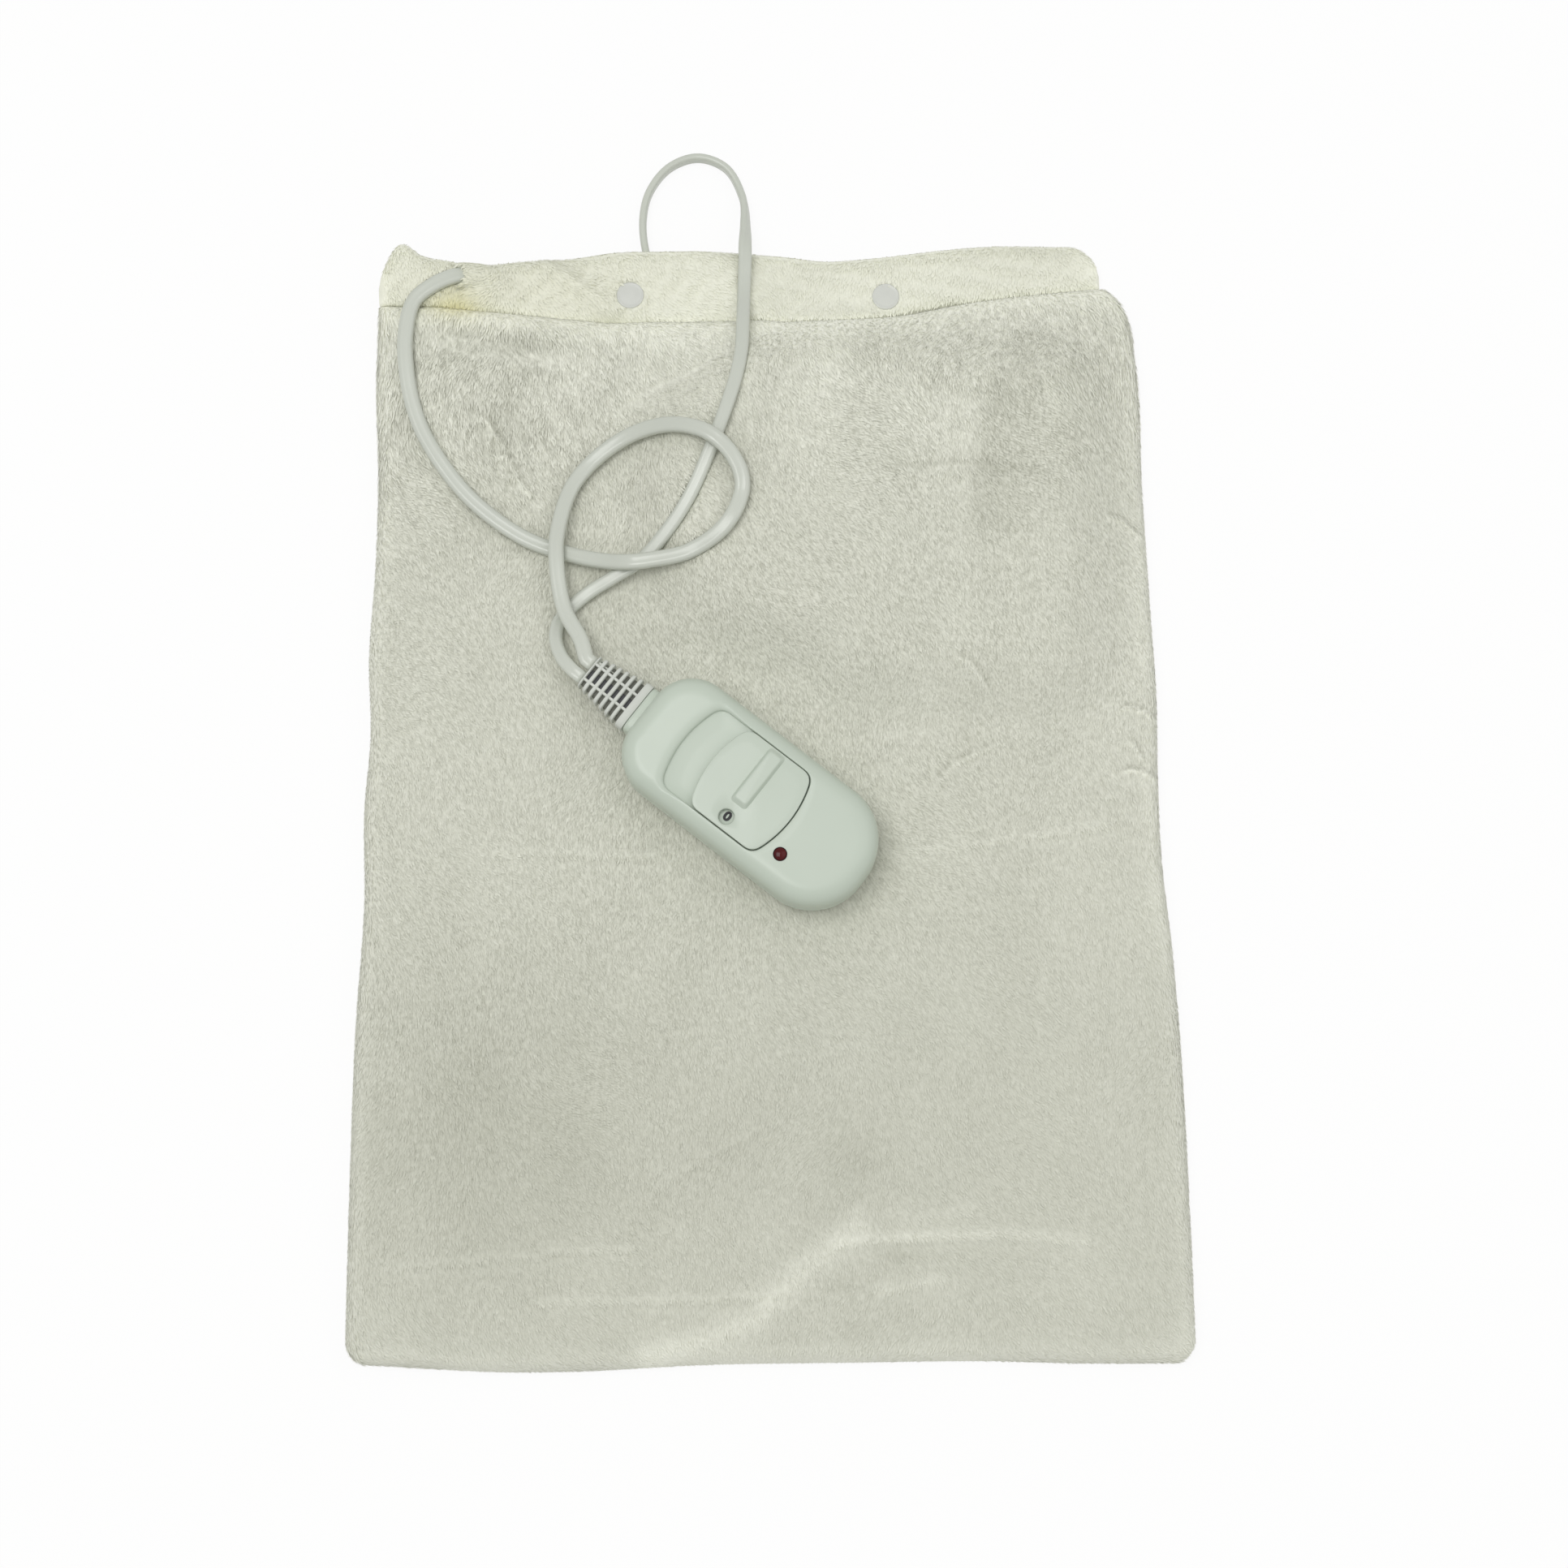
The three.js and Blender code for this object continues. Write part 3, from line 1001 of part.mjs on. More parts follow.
// Board and what stands on it
function makeBoard() {
  const half = BOARD.width / 2;
  const boardOutline = roundedBox(BOARD.from, BOARD.to, -half, half, BOARD.corner);
  piece(controller, 'circuit_board', raised(boardOutline, BOARD.level, BOARD_TOP, 0), BOARD_GREEN);
  const base = bridge(SWITCH_BASE.from, SWITCH_BASE.to, SWITCH_BASE.width, BASE_Z, BASE_TOP);
  piece(controller, 'switch_base', base, DARK_PLASTIC);
  for (let step = 0; step <= SLIDER_STEPS; step += 1) {
    const x = WIPER_TIP + step * STEP_PITCH;
    const [x0, x1] = [x - CONTACT.length / 2, x + CONTACT.length / 2];
    const contact = bridge(x0, x1, CONTACT.width, BASE_TOP + FIT, CONTACT_TOP);
    piece(controller, `switch_contact_${step}`, contact, BRASS);
  }
  const resistor = new THREE.CylinderGeometry(RESISTOR.radius, RESISTOR.radius, RESISTOR.length, 12);
  resistor.translate(RESISTOR.x, RESISTOR.y, BASE_Z + RESISTOR.radius);
  piece(controller, 'series_resistor', resistor, PART_TAN);
  const fuse = new THREE.CylinderGeometry(FUSE.radius, FUSE.radius, FUSE.length, 12).rotateZ(PI / 2);
  piece(controller, 'thermal_fuse', fuse.translate(FUSE.x, FUSE.y, BASE_Z + FUSE.radius), NICKEL);
  const { length, width, height, x, y, corner, edge } = CAPACITOR;
  const can = roundedBox(x - length / 2, x + length / 2, y - width / 2, y + width / 2, corner);
  piece(controller, 'filter_capacitor', raised(can, BASE_Z, BASE_Z + height, edge), PART_BLUE);
  for (const [name, middle] of [['pad_terminal', PAD_CORD_Y], ['mains_terminal', MAINS_CORD_Y]]) {
    const outward = Math.sign(middle);
    const inside = outward * FIT;
    const outside = outward * (FIT + TERMINAL.width);
    const [y0, y1] = [min(inside, outside), max(inside, outside)];
    const start = TERMINAL_END - TERMINAL.length;
    const terminal = block(start, TERMINAL_END, y0, y1, BASE_Z, BASE_Z + TERMINAL.height);
    piece(controller, name, terminal, DARK_PLASTIC);
  }
}

// Indicator: a lens in the top shell and the lamp below it
function makeIndicator() {
  const flangeTop = CASE_HEIGHT - CASE_WALL - FIT;
  const flangeUnder = flangeTop - LENS_FLANGE_HEIGHT;
  const wide = LENS_RADIUS + LENS_FLANGE;
  const lens = turned([[0, flangeUnder], [wide, flangeUnder], [wide, flangeTop], [LENS_RADIUS, flangeTop],
    [LENS_RADIUS, CASE_HEIGHT], [LENS_RADIUS * DOME.reach, CASE_HEIGHT + LENS_DOME * DOME.rise],
    [0, CASE_HEIGHT + LENS_DOME]]);
  piece(controller, 'indicator_lens', lens.translate(LENS_X, LENS_Y, 0), LENS_RED);
  const lampTop = flangeUnder - FIT;
  const lampRound = lampTop - LAMP_RADIUS;
  const lamp = turned([[0, BASE_Z], [LAMP_RADIUS, BASE_Z], [LAMP_RADIUS, lampRound],
    [LAMP_RADIUS * MID_ARC, lampRound + LAMP_RADIUS * MID_ARC], [0, lampTop]], 12);
  piece(controller, 'indicator_lamp', lamp.translate(LENS_X, LENS_Y, 0), LAMP_GLASS);
}

// Cord boot: a tapered, slotted sleeve whose shank passes the neck and is kept by a plate inside
function makeBoot() {
  const x0 = NECK_END + FIT;
  const flangeEnd = x0 + BOOT_FLANGE;
  const x1 = x0 + BOOT_LENGTH;
  const halfAt = (x) => THREE.MathUtils.mapLinear(x, flangeEnd, x1, BOOT_WIDE, BOOT_NARROW) / 2;
  const outline = new THREE.Shape();
  outline.moveTo(x0, -BOOT_WIDE / 2);
  outline.lineTo(flangeEnd, -BOOT_WIDE / 2);
  outline.lineTo(x1, -BOOT_NARROW / 2);
  outline.lineTo(x1, BOOT_NARROW / 2);
  outline.lineTo(flangeEnd, BOOT_WIDE / 2);
  outline.lineTo(x0, BOOT_WIDE / 2);
  outline.closePath();
  const sleeve = raised(outline, CORD_Z - BOOT_HEIGHT / 2, CORD_Z + BOOT_HEIGHT / 2, BOOT_EDGE);
  const across = ({ width, height }, from, to) => {
    return bridge(from, to, width, CORD_Z - height / 2, CORD_Z + height / 2);
  };
  const shank = across(BOOT_SHANK, KEEPER_END - BOOT_KEEPER.length / 2, flangeEnd);
  const keeper = across(BOOT_KEEPER, KEEPER_END - BOOT_KEEPER.length, KEEPER_END);
  const bores = [[PAD_CORD, PAD_CORD_Y], [MAINS_CORD, MAINS_CORD_Y]].map(([{ width, thickness }, y]) => {
    const height = thickness + 2 * FIT;
    return across({ width: width + 2 * FIT, height }, 0, x1 + CUT).translate(0, y, 0);
  });
  const pitch = (x1 - flangeEnd) / BOOT_SLOT_ROWS;
  const windows = [];
  for (let row = 0; row < BOOT_SLOT_ROWS; row += 1) {
    const from = flangeEnd + (row + 0.5) * pitch - BOOT_SLOT / 2;
    const edge = halfAt(from + BOOT_SLOT) - BOOT_BAR;
    const inner = BOOT_WINDOW / 2 + BOOT_BAR;
    for (const [y0, y1] of [[-edge, -inner], [-BOOT_WINDOW / 2, BOOT_WINDOW / 2], [inner, edge]]) {
      windows.push(block(from, from + BOOT_SLOT, y0, y1, CORD_Z - BOOT_HEIGHT, CORD_Z + BOOT_HEIGHT));
    }
  }
  const boot = joined([sleeve, shank, keeper]).subtract(joined(bores)).subtract(joined(windows));
  piece(controller, 'cord_boot', geometryOf(boot), BOOT_RUBBER);
}

// Sheathed cord ends from the terminals through the clamp and the boot
function makeCordEnds() {
  const from = TERMINAL_END + FIT;
  const makeEnd = (name, size, y) => {
    const end = new THREE.ExtrudeGeometry(cordSection(size), { depth: BOOT_END - from, bevelEnabled: false });
    piece(controller, name, end.rotateZ(PI / 2).rotateY(PI / 2).translate(from, y, CORD_Z), CORD_PVC);
  };
  makeEnd('pad_cord_end', PAD_CORD, PAD_CORD_Y);
  makeEnd('mains_cord_end', MAINS_CORD, MAINS_CORD_Y);
}

// Screw from its head's outer face to its tip, head up or head down
function screw(headFace, tip) {
  const up = Math.sign(headFace - tip);
  const shoulder = headFace - up * SCREW_HEAD_HEIGHT;
  const profile = [[0, tip], [SCREW_RADIUS, tip], [SCREW_RADIUS, shoulder], [SCREW_HEAD_RADIUS, shoulder],
    [SCREW_HEAD_RADIUS, headFace], [0, headFace]];
  return turned(up > 0 ? profile : profile.reverse(), 12);
}
// Clamp over both cord ends, with its screws, and the screws of the case
function makeClamp() {
  const strap = solid(bridge(CLAMP_FROM, CLAMP_TO, CLAMP.width, CLAMP_Z, CLAMP_Z + CLAMP.height));
  const holes = bars(CLAMP_SCREWS, SCREW_RADIUS + FIT, CLAMP_Z - CUT, CASE_HEIGHT);
  piece(controller, 'cord_clamp', geometryOf(strap.subtract(holes)), DARK_PLASTIC);
  const clampHead = CLAMP_Z + CLAMP.height + FIT + SCREW_HEAD_HEIGHT;
  CLAMP_SCREWS.forEach(([x, y], i) => {
    piece(controller, `clamp_screw_${i + 1}`, screw(clampHead, CLAMP_SCREW_END).translate(x, y, 0), NICKEL);
  });
  const caseHead = CASE_SCREW_SINK - FIT - SCREW_HEAD_HEIGHT;
  CASE_SCREWS.forEach(([x, y], i) => {
    piece(controller, `case_screw_${i + 1}`, screw(caseHead, CASE_SCREW_TOP).translate(x, y, 0), NICKEL);
  });
}

makeCover();
for (const [side, x] of Object.entries(SNAPS)) makeSnap(side, x);
makePad();
makeWire();
makeThermostats();
makeJunction();
piece(part, 'pad_cord_inner', straightCord(PAD_INNER_ROUTE, PAD_CORD), CORD_PVC);
piece(part, 'pad_cord', laidCord(PAD_ROUTE, PAD_CORD), CORD_PVC);
piece(part, 'mains_cord_run', laidCord(MAINS_ROUTE, MAINS_CORD), CORD_PVC);
makeCoil();
makeTail();
makePlug();
makeCase();
makeSlider();
makeDetent();
makeBoard();
makeIndicator();
makeBoot();
makeCordEnds();
makeClamp();

export default part;
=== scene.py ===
"""Looks of a heating pad with controller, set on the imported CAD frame.

Shapes are worked out in millimetres in the part's frame and turned into metres when a mesh is made. The
pad lies on Z = 0 with its mouth towards +Y. The controller's own pieces are drawn in its local frame,
whose +X points towards the cords, and are then turned and moved onto the pad.
"""

import json
import math

import bmesh
import bpy
import numpy as np
from mathutils import Matrix, Vector

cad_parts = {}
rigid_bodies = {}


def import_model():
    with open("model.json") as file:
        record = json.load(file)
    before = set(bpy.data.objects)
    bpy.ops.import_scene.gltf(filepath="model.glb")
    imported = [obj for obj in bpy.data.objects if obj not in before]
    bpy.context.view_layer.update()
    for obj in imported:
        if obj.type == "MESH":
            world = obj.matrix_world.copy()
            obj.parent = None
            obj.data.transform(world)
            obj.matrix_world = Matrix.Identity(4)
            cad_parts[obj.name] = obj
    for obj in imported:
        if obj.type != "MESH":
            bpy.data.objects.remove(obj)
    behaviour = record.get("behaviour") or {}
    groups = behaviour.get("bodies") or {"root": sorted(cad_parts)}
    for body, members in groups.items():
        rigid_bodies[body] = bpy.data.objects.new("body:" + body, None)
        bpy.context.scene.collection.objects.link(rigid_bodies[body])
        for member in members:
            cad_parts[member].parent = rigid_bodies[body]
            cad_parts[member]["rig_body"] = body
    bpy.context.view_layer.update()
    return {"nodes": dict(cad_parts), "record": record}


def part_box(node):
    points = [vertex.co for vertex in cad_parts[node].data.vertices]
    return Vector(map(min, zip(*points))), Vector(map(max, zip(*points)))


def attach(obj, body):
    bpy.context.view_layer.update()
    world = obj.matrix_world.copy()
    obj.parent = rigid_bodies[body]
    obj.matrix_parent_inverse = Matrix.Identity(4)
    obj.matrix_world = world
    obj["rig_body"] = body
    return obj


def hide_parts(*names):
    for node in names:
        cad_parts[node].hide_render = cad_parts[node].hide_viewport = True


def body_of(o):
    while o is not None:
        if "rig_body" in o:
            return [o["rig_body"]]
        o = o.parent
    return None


bl_info = {
    "name": "Heating pad with controller",
    "version": (1, 0, 0),
    "blender": (4, 5, 0),
    "location": "3D View > Sidebar > Heating pad",
    "description": "Dresses the packed heating pad: plush cover, cords, controller and stage",
    "category": "Object",
}

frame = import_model()
MM = 0.001


def tint(code):
    """Scene-linear colour of a written sRGB colour, four numbers."""
    shares = [int(code[i : i + 2], 16) / 255 for i in (0, 2, 4)]
    return tuple(s / 12.92 if s <= 0.04045 else ((s + 0.055) / 1.055) ** 2.4 for s in shares) + (1.0,)


def colour_choice(name, description, code):
    """Colour setting with a written colour as its default."""
    return bpy.props.FloatVectorProperty(
        name=name, description=description, subtype="COLOR", size=4, min=0, max=1, default=tint(code)
    )


def length_choice(name, description, millimetres):
    """Length setting with its default in millimetres."""
    return bpy.props.FloatProperty(
        name=name, description=description, default=millimetres * MM, min=0, unit="LENGTH", precision=5
    )


class CoverLook(bpy.types.PropertyGroup):
    """Plush cover and what is sewn to it."""

    plush: colour_choice("Plush", "Tips of the panels' pile", "F4F5E8")
    # Painted shade: the gaps' dark colour stands in for the shade between the tufts
    plush_root: colour_choice("Plush roots", "Gaps between the panels' tufts", "AAAB9B")
    # Painted light: the yellow of light that comes through the thin cloth, taken where the points carry it
    warm: colour_choice("Warm pile", "Pile where the light comes through", "E4DFAA")
    # Partly painted light: the hem's pile is kept paler than the panels' for the light that comes through the
    # band
    hem: colour_choice("Hem", "Pile of the band round the mouth", "F8F9EA")
    # Painted shade: the gaps' colour stands in for the shade between the hem's tufts
    hem_root: colour_choice("Hem roots", "Gaps between the hem's tufts", "D3D4C3")
    snap: colour_choice("Snaps", "Caps of the snap fasteners", "CDCFC8")
    pile_length: length_choice("Pile length", "Length of one tuft", 3.2)
    pile_count: bpy.props.IntProperty(
        name="Tufts", description="Tufts on each strip of the front", default=30000, min=0
    )
    wrinkle: bpy.props.FloatProperty(
        name="Wrinkles", description="Share of their height", default=1.0, min=0, max=2, subtype="FACTOR"
    )


class CordLook(bpy.types.PropertyGroup):
    """Free cords, plug and tie."""

    sheath: colour_choice("Sheath", "Flexible cord", "C4C8BD")
    plug: colour_choice("Plug", "Moulded plug", "C4C8BF")
    pad_width: length_choice("Pad cord width", "Wide side of the cord to the pad", 6.2)
    pad_thickness: length_choice("Pad cord thickness", "Thin side of the cord to the pad", 4.2)
    mains_width: length_choice("Mains cord width", "Wide side of the mains cord", 5.4)
    mains_thickness: length_choice("Mains cord thickness", "Thin side of the mains cord", 3.2)


class ControllerLook(bpy.types.PropertyGroup):
    """Hand controller."""

    case: colour_choice("Case", "Moulded case and slider", "BDC7B9")
    boot: colour_choice("Boot", "Slotted cord boot", "CBCEC6")
    lens: colour_choice("Lens", "Indicator lens", "56070A")
    mark: colour_choice("Digits", "Printed digits under the window", "101114")
    digit_height: length_choice("Digit height", "Height of a printed digit", 3.5)


class StageLook(bpy.types.PropertyGroup):
    """Camera, lights and floor."""

    distance: length_choice("Camera distance", "From the middle of the view", 1100)
    tilt: bpy.props.FloatProperty(
        name="Tilt", description="Lean from straight down", default=math.radians(10), unit="ROTATION"
    )
    roll: bpy.props.FloatProperty(
        name="Roll", description="Turn of the view on the pad", default=math.radians(-0.94), unit="ROTATION"
    )
    lens: bpy.props.FloatProperty(name="Lens", description="Focal length in mm", default=64.0, min=1)
    key: bpy.props.FloatProperty(
        name="Key lamp", description="Power of the large lamp", default=14.5, unit="POWER"
    )
    sky: bpy.props.FloatProperty(name="Sky", description="Strength of the even light", default=0.62, min=0)
    floor: colour_choice("Floor", "Plain pale floor", "F4F4F2")


def scene_look(name):
    """Settings of the scene by their name."""
    return getattr(bpy.context.scene, name)


# Shader building


def add(tree, kind, inputs=None, **settings):
    """Shader node with its settings; an input is a value or another node's output."""
    made = tree.nodes.new(kind)
    for name, value in settings.items():
        setattr(made, name, value)
    for name, value in (inputs or {}).items():
        if isinstance(value, bpy.types.NodeSocket):
            tree.links.new(value, made.inputs[name])
        else:
            made.inputs[name].default_value = value
    return made


def mixed(tree, factor, low, high):
    """Colour between low and high."""
    return add(tree, "ShaderNodeMix", {0: factor, 6: low, 7: high}, data_type="RGBA").outputs[2]


def spread(tree, value, low, high, to_low=0.0, to_high=1.0):
    """Value moved from one span to another, held at its ends."""
    ends = {"Value": value, "From Min": low, "From Max": high, "To Min": to_low, "To Max": to_high}
    return add(tree, "ShaderNodeMapRange", ends).outputs["Result"]


def worked(tree, kind, a, b):
    """Result of one arithmetic node."""
    return add(tree, "ShaderNodeMath", {0: a, 1: b}, operation=kind).outputs[0]


def noise(tree, where, scale, detail=2.0):
    """Cloudy noise, between about 0 and 1."""
    return add(tree, "ShaderNodeTexNoise", {"Vector": where, "Scale": scale, "Detail": detail}).outputs["Fac"]


SURFACE_INPUTS = [("Vector", "NodeSocketVector", None), ("Scale", "NodeSocketFloat", 900.0)]
SURFACE_OUTPUTS = [("Height", "NodeSocketFloat")]


def effect(name, inputs=SURFACE_INPUTS, outputs=SURFACE_OUTPUTS):
    """Empty node group with its sockets and its two end nodes."""
    tree = bpy.data.node_groups.new(name, "ShaderNodeTree")
    for label, kind, value in inputs:
        socket = tree.interface.new_socket(label, in_out="INPUT", socket_type=kind)
        if value is not None:
            socket.default_value = value
    for label, kind in outputs:
        tree.interface.new_socket(label, in_out="OUTPUT", socket_type=kind)
    return tree, tree.nodes.new("NodeGroupInput").outputs, tree.nodes.new("NodeGroupOutput").inputs


def make_mottle():
    """Slow change between two colours, with the mask that makes it."""
    tree, given, out = effect(
        "mottle",
        [
            ("Vector", "NodeSocketVector", None),
            ("Light", "NodeSocketColor", None),
            ("Dark", "NodeSocketColor", None),
            ("Scale", "NodeSocketFloat", 30.0),
        ],
        [("Color", "NodeSocketColor"), ("Mask", "NodeSocketFloat")],
    )
    mask = spread(tree, noise(tree, given["Vector"], given["Scale"], 3.0), 0.32, 0.68)
    tree.links.new(mask, out["Mask"])
    tree.links.new(mixed(tree, mask, given["Light"], given["Dark"]), out["Color"])
    return tree


def make_grain():
    """Fine pitting of a moulded or drawn surface."""
    tree, given, out = effect("grain")
    tree.links.new(noise(tree, given["Vector"], given["Scale"]), out["Height"])
    return tree


def make_strokes():
    """Short combed strokes in two near directions, shared out by a slow mask: noise stretched along the
    comb."""
    tree, given, out = effect("strokes")
    layers = []
    for turn in (-86, -58):
        place = {"Vector": given["Vector"], "Rotation": (0, 0, math.radians(turn)), "Scale": (3.0, 1, 1)}
        stretched = add(tree, "ShaderNodeMapping", place, vector_type="TEXTURE")
        layers.append(noise(tree, stretched.outputs["Vector"], given["Scale"]))
    share = spread(tree, noise(tree, given["Vector"], 16.0), 0.44, 0.56)
    blend = add(tree, "ShaderNodeMix", {0: share, 2: layers[0], 3: layers[1]}, data_type="FLOAT")
    tree.links.new(blend.outputs[0], out["Height"])
    return tree


def make_weave():
    """Plain weave: two crossed rows of threads."""
    tree, given, out = effect("weave")
    rows = []
    for direction in ("X", "Y"):
        wave = {"Vector": given["Vector"], "Scale": given["Scale"], "Distortion": 0.4}
        rows.append(add(tree, "ShaderNodeTexWave", wave, bands_direction=direction).outputs["Fac"])
    tree.links.new(worked(tree, "MULTIPLY", *rows), out["Height"])
    return tree


EFFECTS = {"mottle": make_mottle, "grain": make_grain, "strokes": make_strokes, "weave": make_weave}


def use_effect(tree, name, inputs):
    """Outputs of a shared effect, which is built the first time that it is asked for."""
    group = bpy.data.node_groups.get(name) or EFFECTS[name]()
    return add(tree, "ShaderNodeGroup", inputs, node_tree=group).outputs


def toned(colour, share):
    """Colour at a share of its strength."""
    return tuple(c * share for c in colour[:3]) + (1.0,)


# Plain finishes: colour, share of it in the dark patches, scale of the patches, roughness, surface effect
# with its scale and its depth in mm, and other inputs of the shader
FINISHES = {
    "case_plastic": (
        ("controller_look", "case"), 0.965, 22, 0.36, ("grain", 1500, 0.012), {"Coat Weight": 0.12}
    ),
    "boot_rubber": (("controller_look", "boot"), 0.93, 60, 0.55, ("grain", 1100, 0.02), {}),
    # Painted shade: the boot's core is the same rubber in a darker grey, so that the slots look deep
    "boot_slot_shade": ("64655C", 0.85, 90, 0.6, ("grain", 1100, 0.02), {}),
    "lens_red": (
        ("controller_look", "lens"), 0.5, 300, 0.1, ("grain", 500, 0.002), {"Specular IOR Level": 0.2}
    ),
    "lens_rim": ("1C0607", 0.8, 300, 0.4, ("grain", 900, 0.004), {"Specular IOR Level": 0.2}),
    "mark_ink": (("controller_look", "mark"), 0.8, 400, 0.5, ("grain", 2500, 0.004), {}),
    "cord_pvc": (("cord_look", "sheath"), 0.95, 26, 0.26, ("grain", 700, 0.01), {"Coat Weight": 0.2}),
    "plug_pvc": (("cord_look", "plug"), 0.94, 40, 0.42, ("grain", 900, 0.02), {}),
    "snap_plastic": (("cover_look", "snap"), 0.95, 160, 0.34, ("grain", 1200, 0.008), {"Coat Weight": 0.15}),
    "tie_black": ("1A1A1B", 0.75, 200, 0.5, ("grain", 1200, 0.02), {}),
    "dark_plastic": ("26272A", 0.8, 90, 0.46, ("grain", 1200, 0.02), {}),
    "wire_sheath": ("D8C9A8", 0.9, 60, 0.5, ("grain", 1500, 0.01), {}),
    "liner": ("E6E3D7", 0.95, 20, 0.85, ("weave", 700, 0.05), {}),
    "felt": ("D9D4C6", 0.88, 120, 0.95, ("grain", 420, 0.15), {"Sheen Weight": 0.2}),
    "board_green": ("1F5A37", 0.82, 60, 0.4, ("grain", 600, 0.01), {"Coat Weight": 0.3}),
    "part_tan": ("C9A878", 0.88, 300, 0.45, ("grain", 900, 0.01), {}),
    "part_blue": ("2F4F86", 0.85, 200, 0.4, ("grain", 900, 0.01), {}),
    "lamp_glass": ("F2B79A", 0.92, 400, 0.08, ("grain", 300, 0.002), {"Transmission Weight": 0.6}),
    "spring_steel": ("9B9DA1", 0.85, 300, 0.3, ("grain", 1500, 0.008), {"Metallic": 1.0}),
    "brass": ("C39A4B", 0.84, 300, 0.3, ("grain", 1500, 0.008), {"Metallic": 1.0}),
    "nickel": ("BFC0C2", 0.88, 300, 0.24, ("grain", 1500, 0.006), {"Metallic": 1.0}),
}


# Piles: colours of the tips and of the gaps, whose darker colour is painted shade, and the values that a
# pile's points carry
PILES = {"plush": ("plush", "plush_root"), "hem_plush": ("hem", "hem_root")}
CARRIED = ("tone", "warm", "furrow", "broad")


def new_material(name, values):
    """Material with its tree, its shader with even values set, and the place on the piece."""
    made = bpy.data.materials.new(name)
    made.use_nodes = True
    tree = made.node_tree
    shader = tree.nodes["Principled BSDF"]
    for label, value in values.items():
        shader.inputs[label].default_value = value
    return made, tree, shader, add(tree, "ShaderNodeTexCoord").outputs["Object"]


def plain_finish(name):
    """Mottled colour, roughness that follows the mottle, and a fine surface effect through a bump."""
    source, dark, scale, rough, (kind, fine, depth), even_values = FINISHES[name]
    colour = tuple(getattr(scene_look(source[0]), source[1])) if isinstance(source, tuple) else tint(source)
    made, tree, shader, where = new_material(name, even_values)
    patch = {"Vector": where, "Light": colour, "Dark": toned(colour, dark), "Scale": float(scale)}
    mottle = use_effect(tree, "mottle", patch)
    tree.links.new(mottle["Color"], shader.inputs["Base Color"])
    tree.links.new(spread(tree, mottle["Mask"], 0, 1, rough, rough + 0.08), shader.inputs["Roughness"])
    height = use_effect(tree, kind, {"Vector": where, "Scale": float(fine)})["Height"]
    bump = add(tree, "ShaderNodeBump", {"Strength": 1.0, "Distance": depth * MM, "Height": height})
    tree.links.new(bump.outputs["Normal"], shader.inputs["Normal"])
    return made


def pile_finish(name):
    """Pile: colour from the gaps' painted shade to the tip by the tone carried on the mesh, which holds
    painted light and shade too, slow patches that take the yellow of painted light coming through the
    cloth where the mesh says so, fine and broad combed strokes as strong as the mesh says, whose dark
    furrows are partly painted shade, the fine ones also in a bump, and sheen."""
    look = scene_look("cover_look")
    tip, root, warm = (tuple(getattr(look, key)) for key in (*PILES[name], "warm"))
    soft = {"Roughness": 0.95, "Specular IOR Level": 0.15, "Sheen Weight": 0.25, "Sheen Roughness": 0.5}
    made, tree, shader, where = new_material(name, soft)
    nodes = [add(tree, "ShaderNodeAttribute", attribute_name=label) for label in CARRIED]
    tone, glow, furrow, broad = (node.outputs["Fac"] for node in nodes)
    patch = {"Vector": where, "Light": tip, "Dark": toned(tip, 0.97), "Scale": 14.0}
    light = mixed(tree, glow, use_effect(tree, "mottle", patch)["Color"], warm)
    strokes = use_effect(tree, "strokes", {"Vector": where, "Scale": 1250.0})["Height"]
    locks = use_effect(tree, "strokes", {"Vector": where, "Scale": 460.0})["Height"]
    fine = worked(tree, "MULTIPLY", spread(tree, strokes, 0.36, 0.58, -0.24, 0.12), furrow)
    wide = worked(tree, "MULTIPLY", spread(tree, locks, 0.36, 0.62, -0.12, 0.14), broad)
    depth = spread(tree, worked(tree, "ADD", tone, worked(tree, "ADD", fine, wide)), 0, 1)
    tree.links.new(mixed(tree, depth, root, light), shader.inputs["Base Color"])
    strength = spread(tree, furrow, 0, 1, 0, 0.6)
    bump = add(tree, "ShaderNodeBump", {"Strength": strength, "Distance": 0.3 * MM, "Height": strokes})
    tree.links.new(bump.outputs["Normal"], shader.inputs["Normal"])
    return made


def finish(name):
    """Material of a slot, made the first time that it is asked for."""
    made = bpy.data.materials.get("dressed_" + name)
    if made is None:
        made = pile_finish(name) if name in PILES else plain_finish(name)
        made.name = "dressed_" + name
    return made


# Mesh building

SLOT_OF = {part["node"]: part["material_slot"] for part in frame["record"]["subparts"]}


def placed(name, data):
    """Object of the scene that holds a mesh, a text, a camera or a lamp."""
    made = bpy.data.objects.new(name, data)
    bpy.context.scene.collection.objects.link(made)
    return made


def piece(name, points, faces, slot, body="root", replaces=(), closed=True, sharp=None, **carried):
    """Mesh object at the origin from points in mm and faces, with its finish, body, the nodes it stands
    for and the values that its points carry."""
    mesh = bpy.data.meshes.new(name)
    mesh.from_pydata((np.asarray(points, float) * MM).tolist(), [], faces)
    if closed:
        shape = bmesh.new()
        shape.from_mesh(mesh)
        bmesh.ops.recalc_face_normals(shape, faces=shape.faces)
        shape.to_mesh(mesh)
        shape.free()
    mesh.shade_smooth()
    if sharp is not None:
        mesh.set_sharp_from_angle(angle=math.radians(sharp))
    for label, values in carried.items():
        values = np.clip(values, 0, 1).astype(np.float32).ravel()
        mesh.attributes.new(label, "FLOAT", "POINT").data.foreach_set("value", values)
    mesh.materials.append(finish(slot))
    made = placed(name, mesh)
    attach(made, body)
    if replaces:
        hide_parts(*replaces)
    return made


